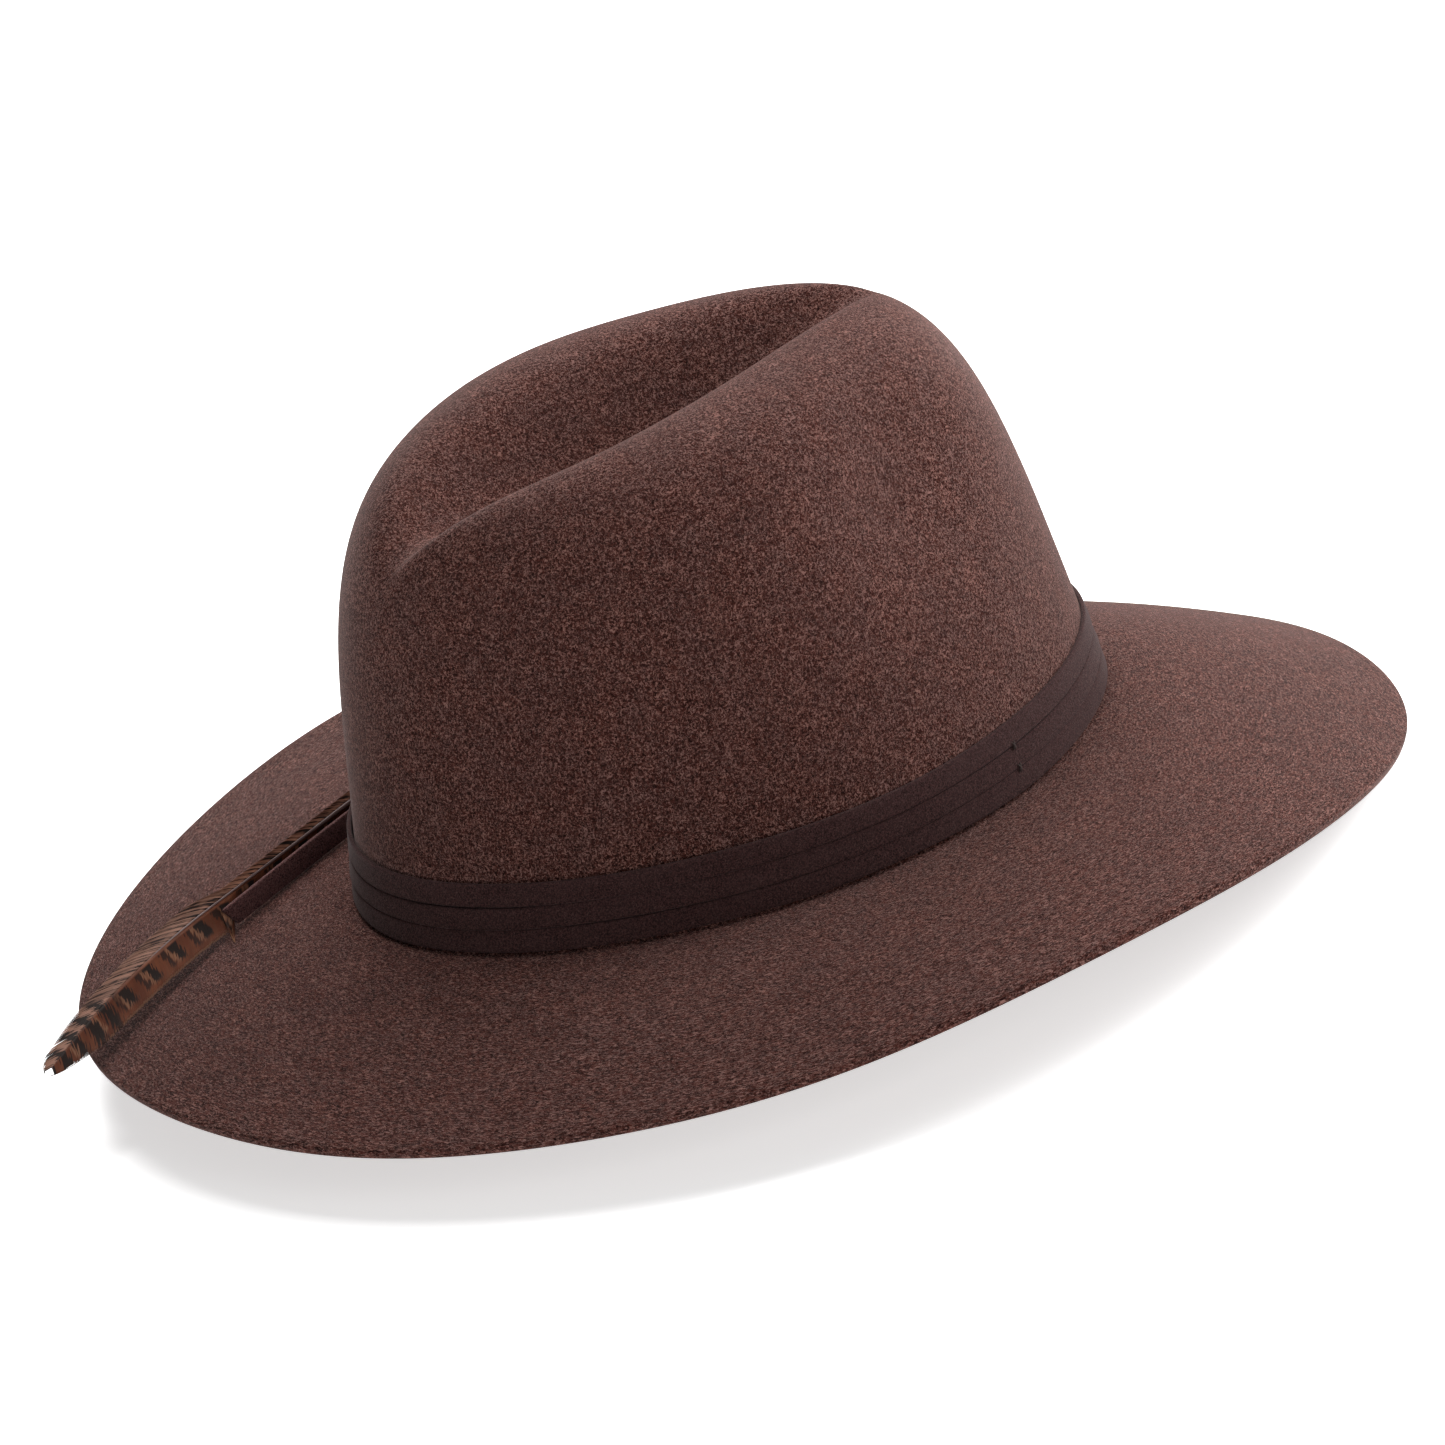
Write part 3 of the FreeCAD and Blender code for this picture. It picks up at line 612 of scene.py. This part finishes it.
def build_felt(material):
    outer = felt_rows()
    inward = inward_normals(outer)
    # hand-blocked felt keeps soft, shallow unevenness
    for row in range(WALL_ROW, len(outer)):
        for column in range(COLUMNS):
            swell = noise.noise(Vector(outer[row, column]) * 22.0)
            outer[row, column] -= inward[row, column] * swell * 0.5 * MM
    inner = outer + inward * FELT * MM
    # the cut edge of the brim, a little rounded
    rim = []
    middle = (outer[0] + inner[0]) / 2.0
    half = (outer[0] - inner[0]) / 2.0
    sideways = unit(outer[0] - outer[1])
    for degrees in (150, 125, 90, 55, 30):
        turn = math.radians(degrees)
        flare = math.sin(turn) ** 0.6 * 0.55 * MM
        rim.append(middle + half * math.cos(turn) * 1.05 + sideways * flare)
    rows = np.concatenate([inner[::-1], np.array(rim), outer])
    new_piece("felt_hat", capped_tube(rows), ["felt_body"], material)


# ---------------- band

def ring_piece(name, outline, wander, node, material, columns=320):
    """A closed band on the crown wall.  outline is (grow, height) pairs; wander
    moves the outline at each angle, as hand-wound straps do."""
    turn = np.arange(columns) * 2.0 * math.pi / columns
    rows = []
    for grow, height in outline:
        drift_out, drift_up = wander(turn, height)
        rows.append(wall_spots(turn, height + drift_up, grow + drift_out))
    shape = np.array(rows).reshape(-1, 3), loop_faces(len(outline), columns, True)
    new_piece(name, shape, [node], material)


def strap_outline(low, high, inner, outer, radius=0.42):
    """Outline of a strip on the wall, as (grow, height) pairs."""
    shape = rounded_box(outer - inner, high - low, radius)
    flat = []
    # more points up the two faces, so that the strap can bow a little
    count = len(shape)
    for index in range(count):
        start, end = shape[index], shape[(index + 1) % count]
        pieces = 4 if abs(end[1] - start[1]) > 1.5 else 1
        for step in range(pieces):
            flat.append(start + (end - start) * step / pieces)
    middle = np.array([(inner + outer) / 2.0, (low + high) / 2.0])
    return np.array(flat) + middle


def build_band(material):
    for turn, level in enumerate(("lower", "middle", "upper")):
        low = STRAP_BOTTOM + turn * STRAP_PITCH
        outline = strap_outline(low, low + STRAP_HEIGHT, STRAP_GAP, STRAP_GAP + STRAP_THICKNESS)
        centre = low + STRAP_HEIGHT / 2.0
        seed = 2.1 * turn

        def wander(angle, height):
            up = 0.12 * np.sin(3 * angle + seed) + 0.09 * np.sin(7 * angle + 2.3 * seed)
            if turn == 0:
                up = np.abs(up)
            tilt = 0.05 + 0.035 * np.sin(4 * angle + seed * 1.7)
            out = 0.14 + (centre - height) * tilt + 0.06 * np.sin(9 * angle + seed)
            return out, up

        ring_piece("strap_" + level, outline, wander, "band_wrap_" + level, material)


AHEAD = wall_spots(TAIL_ANGLE + 0.01, 4.0, 1.5) - wall_spots(TAIL_ANGLE - 0.01, 4.0, 1.5)
AHEAD[2] = 0.0
AHEAD = unit(AHEAD)
OUTWARD = np.array([-AHEAD[1], AHEAD[0], 0.0])
TANGENT_SPOT = wall_spots(TAIL_ANGLE, 4.0, STRAP_GAP + STRAP_THICKNESS)
OUTWARD = OUTWARD * np.sign(OUTWARD @ TANGENT_SPOT)
LEFTWARD, REARWARD, UP = np.eye(3)


def beside_crown(distance, out, height):
    """Point on the tail's line: distance back along it and out from the band."""
    flat = TANGENT_SPOT + (AHEAD * distance + OUTWARD * out) * MM
    return np.array([flat[0], flat[1], height * MM])


def strip_rings(frames, outline):
    """Rings of a strip: each frame is (origin, across, up, scale)."""
    rings = []
    for origin, across, up, scale in frames:
        rings.append([origin + (across * x + up * y) * scale * MM for x, y in outline])
    return np.array(rings)


def build_tail(material):
    middle = np.array([STRAP_THICKNESS / 2, STRAP_HEIGHT / 2])
    outline = rounded_box(STRAP_THICKNESS, STRAP_HEIGHT, 0.42) + middle
    rings = []
    last = 72
    for step in range(last + 1):
        distance = TAIL_START + (TAIL_END - TAIL_START) * step / last
        tipped = smooth_step(distance, 8.0, 40.0) - smooth_step(distance, 55.0, TAIL_END + 5.0)
        lean = math.radians(TAIL_LEAN * float(tipped))
        sink = TAIL_SINK * (max(distance, 0.0) / TAIL_END) ** 1.6
        foot = beside_crown(distance, TAIL_GAP, TAIL_FOOT - sink)
        side = OUTWARD * math.cos(lean) - UP * math.sin(lean)
        rise = UP * math.cos(lean) + OUTWARD * math.sin(lean)
        rise = rise + AHEAD * TAIL_CUT / STRAP_HEIGHT * float(smooth_step(distance, 50.0, TAIL_END))
        ripple = 0.10 * math.sin(distance * 0.16) * float(smooth_step(distance, 20.0, 60.0))
        shape = middle + (outline - middle) * end_rounding(step, last, 0.05)
        rings.append([foot + (side * (x + ripple) + rise * y) * MM for x, y in shape])
    new_piece("strap_tail", capped_tube(rings), ["band_tail"], material)


def bent_strip(path, thickness):
    """Outline of a strip that follows a path of (across, up) points, as a loop."""
    path = np.array(path, float)
    run = np.gradient(path, axis=0)
    side = unit(np.stack([-run[:, 1], run[:, 0]], axis=1))
    return np.concatenate([path + side * thickness / 2, (path - side * thickness / 2)[::-1]])


def keeper_out(depth):
    """Distance out from the band to a depth in the keeper's leather."""
    return TAIL_GAP + STRAP_THICKNESS + 2 * QUILL_RADIUS + 2.5 * SLIDE_GAP + depth


def build_keeper(material):
    low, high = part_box("band_keeper")
    leather = 1.0
    bottom = low[2] / MM + leather / 2
    top = high[2] / MM - leather / 2
    face = keeper_out(0.55)
    corner = 1.0
    straight = face - corner
    path = [(-1.1, top), (face - 2.2, top)]
    for degrees in (90, 60, 30, 0):
        turn = math.radians(degrees)
        path.append((straight + corner * math.cos(turn), top - corner + corner * math.sin(turn)))
    for step in range(1, 8):
        path.append((face + 0.12 * math.sin(step * math.pi / 8),
                     top - corner + (bottom - top + 2 * corner) * step / 8))
    for degrees in (0, -30, -60, -90):
        turn = math.radians(degrees)
        path.append((straight + corner * math.cos(turn), bottom + corner + corner * math.sin(turn)))
    path += [(face - 2.2, bottom), (1.0, bottom)]
    outline = bent_strip(path, leather)
    last = 12
    frames = []
    for step in range(last + 1):
        distance = -KEEPER_WIDTH / 2 + KEEPER_WIDTH * step / last
        frames.append((beside_crown(distance, 0.0, 0.0), OUTWARD, UP, 1.0))
    rings = strip_rings(frames, outline)
    # the cut ends of the leather are rubbed round
    for end, inner in ((0, 1), (-1, -2)):
        rings[end] = rings[end] + (rings[inner] - rings[end]) * 0.4
        rings[end] = rings[end] + (rings[end][::-1] - rings[end]) * 0.18
    count = len(outline)
    faces = loop_faces(len(rings), count, False)
    for start, flip in ((0, False), (last * count, True)):
        for index in range(count // 2 - 1):
            quad = (start + index, start + index + 1,
                    start + count - 2 - index, start + count - 1 - index)
            faces.append(quad[::-1] if flip else quad)
    new_piece("strap_keeper", (rings.reshape(-1, 3), faces), ["band_keeper"], material)


def stitch(start, end, radius, lift):
    """One thread stitch: fat in the middle, diving into its two holes."""
    run = unit(end - start)
    side = unit(np.cross(run, lift))
    upward = np.cross(side, run)
    rings = []
    for step in range(9):
        share = step / 8.0
        arch = math.sin(share * math.pi)
        centre = start + (end - start) * share + upward * (arch - 0.6) * radius * 0.9
        girth = radius * (0.45 + 0.6 * arch ** 0.6)
        turn = np.arange(8) * math.pi / 4 + share * 1.2
        rings.append([centre + (side * math.cos(angle) + upward * math.sin(angle)) * girth
                      for angle in turn])
    return capped_tube(rings)


def build_stitches(material):
    outside = STRAP_GAP + STRAP_THICKNESS + 0.35
    tacks = []
    for degrees in (-70.0, 70.0):
        angle = math.radians(degrees)
        for seam in (1, 2):
            level = STRAP_BOTTOM + seam * STRAP_PITCH
            for turn in (-0.006, 0.006):
                ends = [wall_spots(angle + turn * way, level + way * 1.1, outside) for way in (-1, 1)]
                tacks.append(stitch(ends[0], ends[1], 0.26 * MM, ends[0] * np.array([1, 1, 0])))
    new_piece("tack_stitches", joined(tacks), ["band_tacks"], material)

    out = keeper_out(1.1) + 0.12
    tacks = []
    for distance in (-2.6, 2.6):
        for level in (2.2, STRAP_BOTTOM + 3 * STRAP_PITCH - 2.4):
            ends = [beside_crown(distance, out, height) for height in (level, level + 2.4)]
            tacks.append(stitch(ends[0], ends[1], 0.28 * MM, OUTWARD))
    new_piece("keeper_stitches", joined(tacks), ["keeper_tacks"], material)

    row = []
    pitch = 2.0 * math.pi / STITCH_COUNT
    for index in range(STITCH_COUNT):
        ends = [wall_spots(pitch * (index + share), STITCH_LEVEL, -(FELT + 2.05)) for share in (0.0, 0.62)]
        row.append(stitch(ends[0], ends[1], 0.28 * MM, -ends[0] * np.array([1, 1, 0])))
    new_piece("sweatband_stitch_row", joined(row), ["sweatband_stitches"], material)


# ---------------- inside

def still(angle, height):
    """No wander: the piece lies true."""
    return 0.0 * angle, 0.0 * angle


def gentle(angle, height):
    """The sweatband stands off the felt a little more towards its free top edge."""
    free = float(smooth_step(height, SWEATBAND_FREE, SWEATBAND_TOP))
    return -free * (0.25 + 0.2 * np.sin(5 * angle + 1.0) + 0.1 * np.sin(11 * angle)), 0.0 * angle


def build_sweatband(leather, tape, reed):
    inner = -(FELT + 1.9)
    outline = strap_outline(2.05, SWEATBAND_TOP, inner, inner + 0.8, 0.36)
    ring_piece("sweatband_leather", outline, gentle, "sweatband", leather)
    outline = strap_outline(TAPE_LOW, TAPE_HIGH, -(FELT + 0.65), -(FELT + 0.35), 0.12)
    ring_piece("reed_cover_tape", outline, still, "reed_tape", tape, 240)
    turn = np.arange(16) * math.pi / 8
    circle = REED_RADIUS * np.stack([np.cos(turn), np.sin(turn)], axis=1) + [-REED_DEPTH, REED_LEVEL]
    ring_piece("reed_cord", circle, still, "sweatband_reed", reed, 240)
    # the tape over the sweatband's joint at the rear
    frames = []
    last = 20
    for step in range(last + 1):
        height = SWEATBAND_FREE + (SWEATBAND_TOP - 0.5 - SWEATBAND_FREE) * step / last
        drift = float(gentle(np.array([math.pi]), height)[0][0])
        origin = wall_spots(math.pi, height, drift - REED_DEPTH - 0.2)
        frames.append((origin, LEFTWARD, REARWARD, end_rounding(step, last, 0.05)))
    shape = capped_tube(strip_rings(frames, rounded_box(6.6, 0.32, 0.14, 3)))
    new_piece("rear_seam_tape", shape, ["sweatband_rear_tape"], tape)


def build_bow(material):
    centre = wall_spots(math.pi, 6.2, -REED_DEPTH - 1.25)
    parts = []

    def ribbon(point, thick, width):
        section = rounded_box(width, 0.24, 0.1, 2)
        return [point + (REARWARD * x + thick * y) * MM for x, y in section]

    for side in (-1.0, 1.0):
        loop = []
        for step in range(29):
            share = step / 28.0
            turn = share * 2.0 * math.pi
            belly = math.sin(share * math.pi)
            across = side * (0.6 + 4.3 * (1.0 - math.cos(turn)))
            up = 1.25 * math.sin(turn) * (0.55 + 0.45 * belly) + 0.4 * belly + 0.10 * across * side
            run_across = side * 4.3 * math.sin(turn)
            run_up = 1.25 * math.cos(turn)
            thick = (UP * run_across - LEFTWARD * run_up) / math.hypot(run_across, run_up)
            loop.append(ribbon(centre + (LEFTWARD * across + UP * up) * MM, thick, 2.0))
        parts.append(capped_tube(loop))
        end = []
        for step in range(9):
            share = step / 8.0
            across = side * (0.5 + 3.4 * share)
            point = centre + (LEFTWARD * across - UP * (0.4 + 2.0 * share ** 1.3)) * MM
            end.append(ribbon(point, LEFTWARD * side * 0.45 + UP * 0.9, 1.9))
        parts.append(capped_tube(end))
    knot = []
    for step in range(11):
        share = step / 10.0
        girth = (0.75 + 0.35 * math.sin(share * math.pi)) * MM
        point = centre + REARWARD * (share - 0.5) * 2.3 * MM
        turns = np.arange(14) * math.pi / 7
        knot.append([point + (LEFTWARD * math.cos(turn) + UP * math.sin(turn) * 0.85) * girth
                     for turn in turns])
    parts.append(capped_tube(knot))
    new_piece("sweatband_ribbon_bow", joined(parts), ["sweatband_bow"], material)


def build_lining(material):
    rows = felt_rows()
    inward = inward_normals(rows)
    # the side starts behind the sweatband, the top 42 rows above that
    heights = rows[WALL_ROW:, 0, 2] / MM
    first = WALL_ROW + int(np.argmax(heights > 22.0))
    seam = first + 42
    for name, node, span in (("satin_side", "lining_side", slice(first, seam)),
                             ("satin_top", "lining_top", slice(seam, len(rows)))):
        face = rows[span] + inward[span] * (FELT + 0.45) * MM
        # loose cloth: shallow folds that run up the side
        for row in range(len(face)):
            fold = 0.16 * np.sin(23 * AROUND + 0.05 * row) + 0.12 * np.sin(37 * AROUND + 1.0)
            fade = min(row, len(face) - 1 - row, 12) / 12.0
            face[row] += inward[span][row] * (np.maximum(fold, -0.1) * fade * MM)[:, None]
        back = face - inward[span] * 0.2 * MM
        if node == "lining_side":
            ring = np.concatenate([back, face[::-1]])
            shape = ring.reshape(-1, 3), loop_faces(len(ring), COLUMNS, True)
        else:
            shape = capped_tube(np.concatenate([back[::-1], face]))
        new_piece(name, shape, [node], material)


def build_label(material):
    frames = []
    last = 16
    for step in range(last + 1):
        angle = math.radians(150.0 + 12.0 * step / last)
        low = wall_spots(angle, 35.3, -(FELT + 1.3))
        high = wall_spots(angle, 46.7, -(FELT + 1.3))
        side = unit(wall_spots(angle, 41.0, 0.0) - wall_spots(angle, 41.0, -1.0))
        frames.append(((low + high) / 2, side, unit(high - low), end_rounding(step, last, 0.04)))
    shape = capped_tube(strip_rings(frames, rounded_box(0.28, 11.4, 0.12, 3)))
    new_piece("blank_label", shape, ["size_label"], material)


# ---------------- feather

def feather_spine(distance):
    out = TAIL_GAP + STRAP_THICKNESS + SLIDE_GAP + QUILL_RADIUS
    bend = (max(distance - BEND_START, 0.0) / (FEATHER_REACH - BEND_START)) ** 2
    return beside_crown(distance, out + QUILL_SPREAD * distance - BEND_IN * bend,
                        QUILL_HEIGHT - QUILL_FALL * distance - BEND_DOWN * bend)


def feather_frame(distance):
    """Run along the quill, direction across the blade and out of its face."""
    tilt = math.radians(75.0 - 40.0 * float(smooth_step(distance, 70.0, 104.0)))
    run = unit(feather_spine(distance + 0.5) - feather_spine(distance - 0.5))
    across = OUTWARD * math.cos(tilt) + UP * math.sin(tilt)
    across = unit(across - run * (across @ run))
    return run, across, np.cross(run, across)


BRIM_GRID = felt_rows()[:BRIM_ROWS].reshape(-1, 3)


def quill_radius(distance):
    return QUILL_RADIUS * (0.18 + 0.82 * math.exp(-(max(distance, 0.0) / 50.0) ** 1.3))


def set_uv(piece, coordinates, name="UVMap"):
    layer = piece.data.uv_layers.new(name=name)
    for loop in piece.data.loops:
        layer.data[loop.index].uv = coordinates[loop.vertex_index]


def build_quill(material):
    rings = []
    coordinates = []
    for step in range(91):
        distance = QUILL_START + (FEATHER_REACH - 2.0) * step / 90
        across, face = feather_frame(distance)[1:]
        radius = quill_radius(distance) * min(1.0, 0.55 + 0.15 * step)
        ring = []
        for side in range(20):
            turn = side * math.pi / 10
            # flat-sided towards the vanes, grooved on its underside
            groove = 0.18 * math.exp(-((turn - 1.5 * math.pi) / 0.35) ** 2)
            girth = radius * (1.0 - groove - 0.10 * abs(math.cos(turn)) ** 3)
            spoke = (across * math.cos(turn) + face * math.sin(turn)) * girth * MM
            ring.append(feather_spine(distance) + spoke)
            coordinates.append((distance, side * 0.35))
        rings.append(ring)
    coordinates += [(QUILL_START, 0.0), (FEATHER_REACH, 0.0)]
    piece = new_piece("feather_shaft", capped_tube(rings), ["feather_quill"], material, "feather")
    set_uv(piece, coordinates)


def vane_width(distance, beside_tail, full):
    share = (distance - VANE_START) / (FEATHER_REACH - VANE_START)
    opening = math.sin(min(share / 0.12, 1.0) * math.pi / 2.0)
    closing = max(1.0 - max((share - 0.70) / 0.30, 0.0) ** 2.4, 0.0) ** 0.55
    width = beside_tail + (full - beside_tail) * float(smooth_step(distance, 80.0, 88.0))
    return 0.35 + (width - 0.35) * opening * closing


def brim_top(points):
    """Height of the brim's top under some points near the feather."""
    flat = BRIM_GRID[:, :2]
    return np.array([BRIM_GRID[np.argmin(((flat - point[:2]) ** 2).sum(axis=1)), 2] for point in points])


def barb(root, side, width, sweep, droop, gather):
    """One barb: a thin blade from the quill outwards that turns towards the tip.
    droop lays its end over towards the hat, gather moves its end along."""
    rings = []
    coordinates = []
    shares = []
    steps = 9
    for step in range(steps + 1):
        share = step / steps
        along = root + sweep * width * (0.55 * share + 0.45 * share ** 2) + gather * share ** 2
        along = min(along, BLADE_TIP)
        # the blade's outline closes to a blunt point at the tip
        room = 0.5 + (BLADE_TIP - along) ** 0.64
        reach = min(width * share, room)
        run, across, face = feather_frame(along)
        cover = float(smooth_step(root, 100.0, 128.0))
        start = quill_radius(along) * (0.85 - 1.0 * cover)
        over = quill_radius(along) * (0.35 + 0.65 * cover) * max(0.0, 1.0 - share * 2.0)
        arch = 0.09 * width * math.sin(share * math.pi / 2.0) - over - 0.12 * share
        centre = feather_spine(along) + (across * side * (start + reach) + face * arch) * MM
        centre = centre - OUTWARD * droop * share ** 2 * MM
        wide = 0.27 * (1.0 - 0.6 * share ** 3)
        thin = 0.055 * (1.0 - 0.5 * share)
        rings.append([centre + (run * x * wide + face * y * thin) * MM
                      for x, y in ((1, 0.4), (0, 1), (-1, 0.4), (-1, -0.4), (0, -1), (1, -0.4))])
        coordinates += [(root, width * share)] * 6
        shares += [share] * 6
    rings = np.array(rings)
    if side < 0 and 60.0 < root < 150.0:
        middle = rings.mean(axis=1)
        lift = np.maximum(brim_top(middle) + 0.4 * MM - middle[:, 2], 0.0)
        rings[:, :, 2] += lift[:, None]
    points, faces = capped_tube(rings)
    coordinates += [coordinates[0], coordinates[-1]]
    shares += [0.0, 1.0]
    return points, faces, coordinates, shares


def build_vane(name, node, side, beside_tail, full, sweep, seed, material):
    dice = random.Random(seed)
    parts = []
    coordinates = []
    own = []
    distance = VANE_START
    split = 0.0
    while distance < FEATHER_REACH - 1.0:
        # barbs stay hooked together in clumps, with a small split between clumps
        if dice.random() < 0.045:
            split = dice.uniform(-0.5, 0.6)
        width = vane_width(distance, beside_tail, full) * dice.uniform(0.97, 1.01)
        gather, droop = split, 0.0
        if distance > FEATHER_REACH - 12.0:
            width = width + 0.5
            gather = split * 1.6
        if side < 0 and 81.5 < distance < 87.5:
            # the tuft at the strap's end, split off from the rest of the blade
            middle = 1.0 - abs(distance - TUFT_PLACE) / 3.5
            width = width + 6.0 * max(middle, 0.0)
            gather = (TUFT_PLACE - distance) * 0.9 + 3.5
            droop = 2.5
        elif side < 0 and 87.5 <= distance < 93.0:
            gather = -2.5 * (93.0 - distance) / 5.5
        sweep_here = sweep + 0.5 * float(smooth_step(distance, 125.0, 160.0))
        points, faces, places, shares = barb(distance, side, width, sweep_here, droop, gather)
        parts.append((points, faces))
        coordinates += places
        luck = dice.random()
        own += [(share, luck) for share in shares]
        distance += BARB_PITCH
    piece = new_piece(name, joined(parts), [node], material, "feather")
    set_uv(piece, coordinates)
    set_uv(piece, own, "Barb")


# ---------------- set, light, camera

def build_stage():
    floor_level = CAD_BOX[0][2] - 0.002
    bpy.ops.mesh.primitive_plane_add(size=60.0, location=(0, 0, floor_level))
    floor = bpy.context.object
    floor.name = "floor"
    shader = Shader("floor_paper")
    tone = shader.noise(0.002, 2.0)
    shader.colour(tone, (0.93, 0.93, 0.93), (0.95, 0.95, 0.95))
    # the floor is lit from below, like a product table
    shader.bsdf.inputs["Emission Color"].default_value = (1.0, 1.0, 1.0, 1.0)
    shader.bsdf.inputs["Emission Strength"].default_value = 0.60
    floor.data.materials.append(shader.finished(0.9, 0.1))


VIEW_TURN = math.radians(30.34)      # how far the view has swung from the right side to the rear
VIEW_RISE = math.radians(21.7)
VIEW_ROLL = math.radians(-12.93)
VIEW_DISTANCE = 3.408
VIEW_RIGHT = Vector((-math.sin(VIEW_TURN), -math.cos(VIEW_TURN), 0.0))
VIEW_AWAY = Vector((math.cos(VIEW_TURN) * math.cos(VIEW_RISE),
                    -math.sin(VIEW_TURN) * math.cos(VIEW_RISE), -math.sin(VIEW_RISE)))


def build_camera():
    up = VIEW_RIGHT.cross(VIEW_AWAY)
    target = VIEW_RIGHT * 0.0005 + up * 0.0156
    right = VIEW_RIGHT * math.cos(VIEW_ROLL) + up * math.sin(VIEW_ROLL)
    top = up * math.cos(VIEW_ROLL) - VIEW_RIGHT * math.sin(VIEW_ROLL)
    back = -VIEW_AWAY
    data = bpy.data.cameras.new("camera")
    data.sensor_width = 36.0
    data.lens = 338.0
    data.clip_end = 100.0
    camera = bpy.data.objects.new("camera", data)
    bpy.context.collection.objects.link(camera)
    where = target + back * VIEW_DISTANCE
    camera.matrix_world = Matrix((
        (right.x, top.x, back.x, where.x),
        (right.y, top.y, back.y, where.y),
        (right.z, top.z, back.z, where.z),
        (0, 0, 0, 1)))
    bpy.context.scene.camera = camera


def add_softbox(name, place_at, width, watts):
    """A square soft light that points at the hat."""
    data = bpy.data.lights.new(name, "AREA")
    data.energy = watts
    data.size = width
    light = bpy.data.objects.new(name, data)
    light.location = place_at
    light.rotation_euler = Vector(place_at).to_track_quat("Z", "Y").to_euler()
    bpy.context.collection.objects.link(light)


def build_lights():
    level_away = Vector((VIEW_AWAY.x, VIEW_AWAY.y, 0.0)).normalized()
    up = Vector((0.0, 0.0, 1.0))
    # name; metres right of, beyond and above the hat; metres wide; watts
    for name, right, away, above, width, watts in (
            ("key_light", 1.0, 0.30, 0.70, 0.7, 18.0), ("rear_light", 0.1, 1.1, 0.9, 0.9, 22.0),
            ("top_light", -0.15, 0.15, 1.4, 0.7, 12.0), ("fill_light", 0.5, -1.15, 0.45, 0.6, 4.0)):
        add_softbox(name, VIEW_RIGHT * right + level_away * away + up * above, width, watts)
    world = bpy.data.worlds.new("studio")
    world.use_nodes = True
    background = world.node_tree.nodes["Background"]
    background.inputs["Color"].default_value = (1.0, 1.0, 1.0, 1.0)
    background.inputs["Strength"].default_value = 0.12
    bpy.context.scene.world = world
    bpy.context.scene.view_settings.view_transform = "Standard"


# ---------------- build everything

build_camera()
build_stage()
build_lights()

felt = felt_material()
suede = suede_material("suede_strap", 1.0)
# painted light: the tail is the band's suede with its colours 2.6 times brighter, to lift its shaded face
suede_tail_painted_light = suede_material("suede_tail_painted_light", 2.6)
thread = thread_material()
tape = grosgrain_material()
satin = satin_material()

build_felt(felt)
build_band(suede)
build_tail(suede_tail_painted_light)
build_keeper(suede)
build_stitches(thread)
build_sweatband(leather_material(), tape, reed_material())
build_bow(tape)
build_lining(satin)
build_label(label_material())
build_quill(quill_material())
build_vane("feather_barbs_upper", "feather_vane_upper", 1.0, 1.9, 4.2, 2.1, 5,
           vane_material("vane_narrow", 2.1, False))
build_vane("feather_barbs_lower", "feather_vane_lower", -1.0, 4.2, 7.6, 0.75, 11,
           vane_material("vane_wide", 0.75, True))
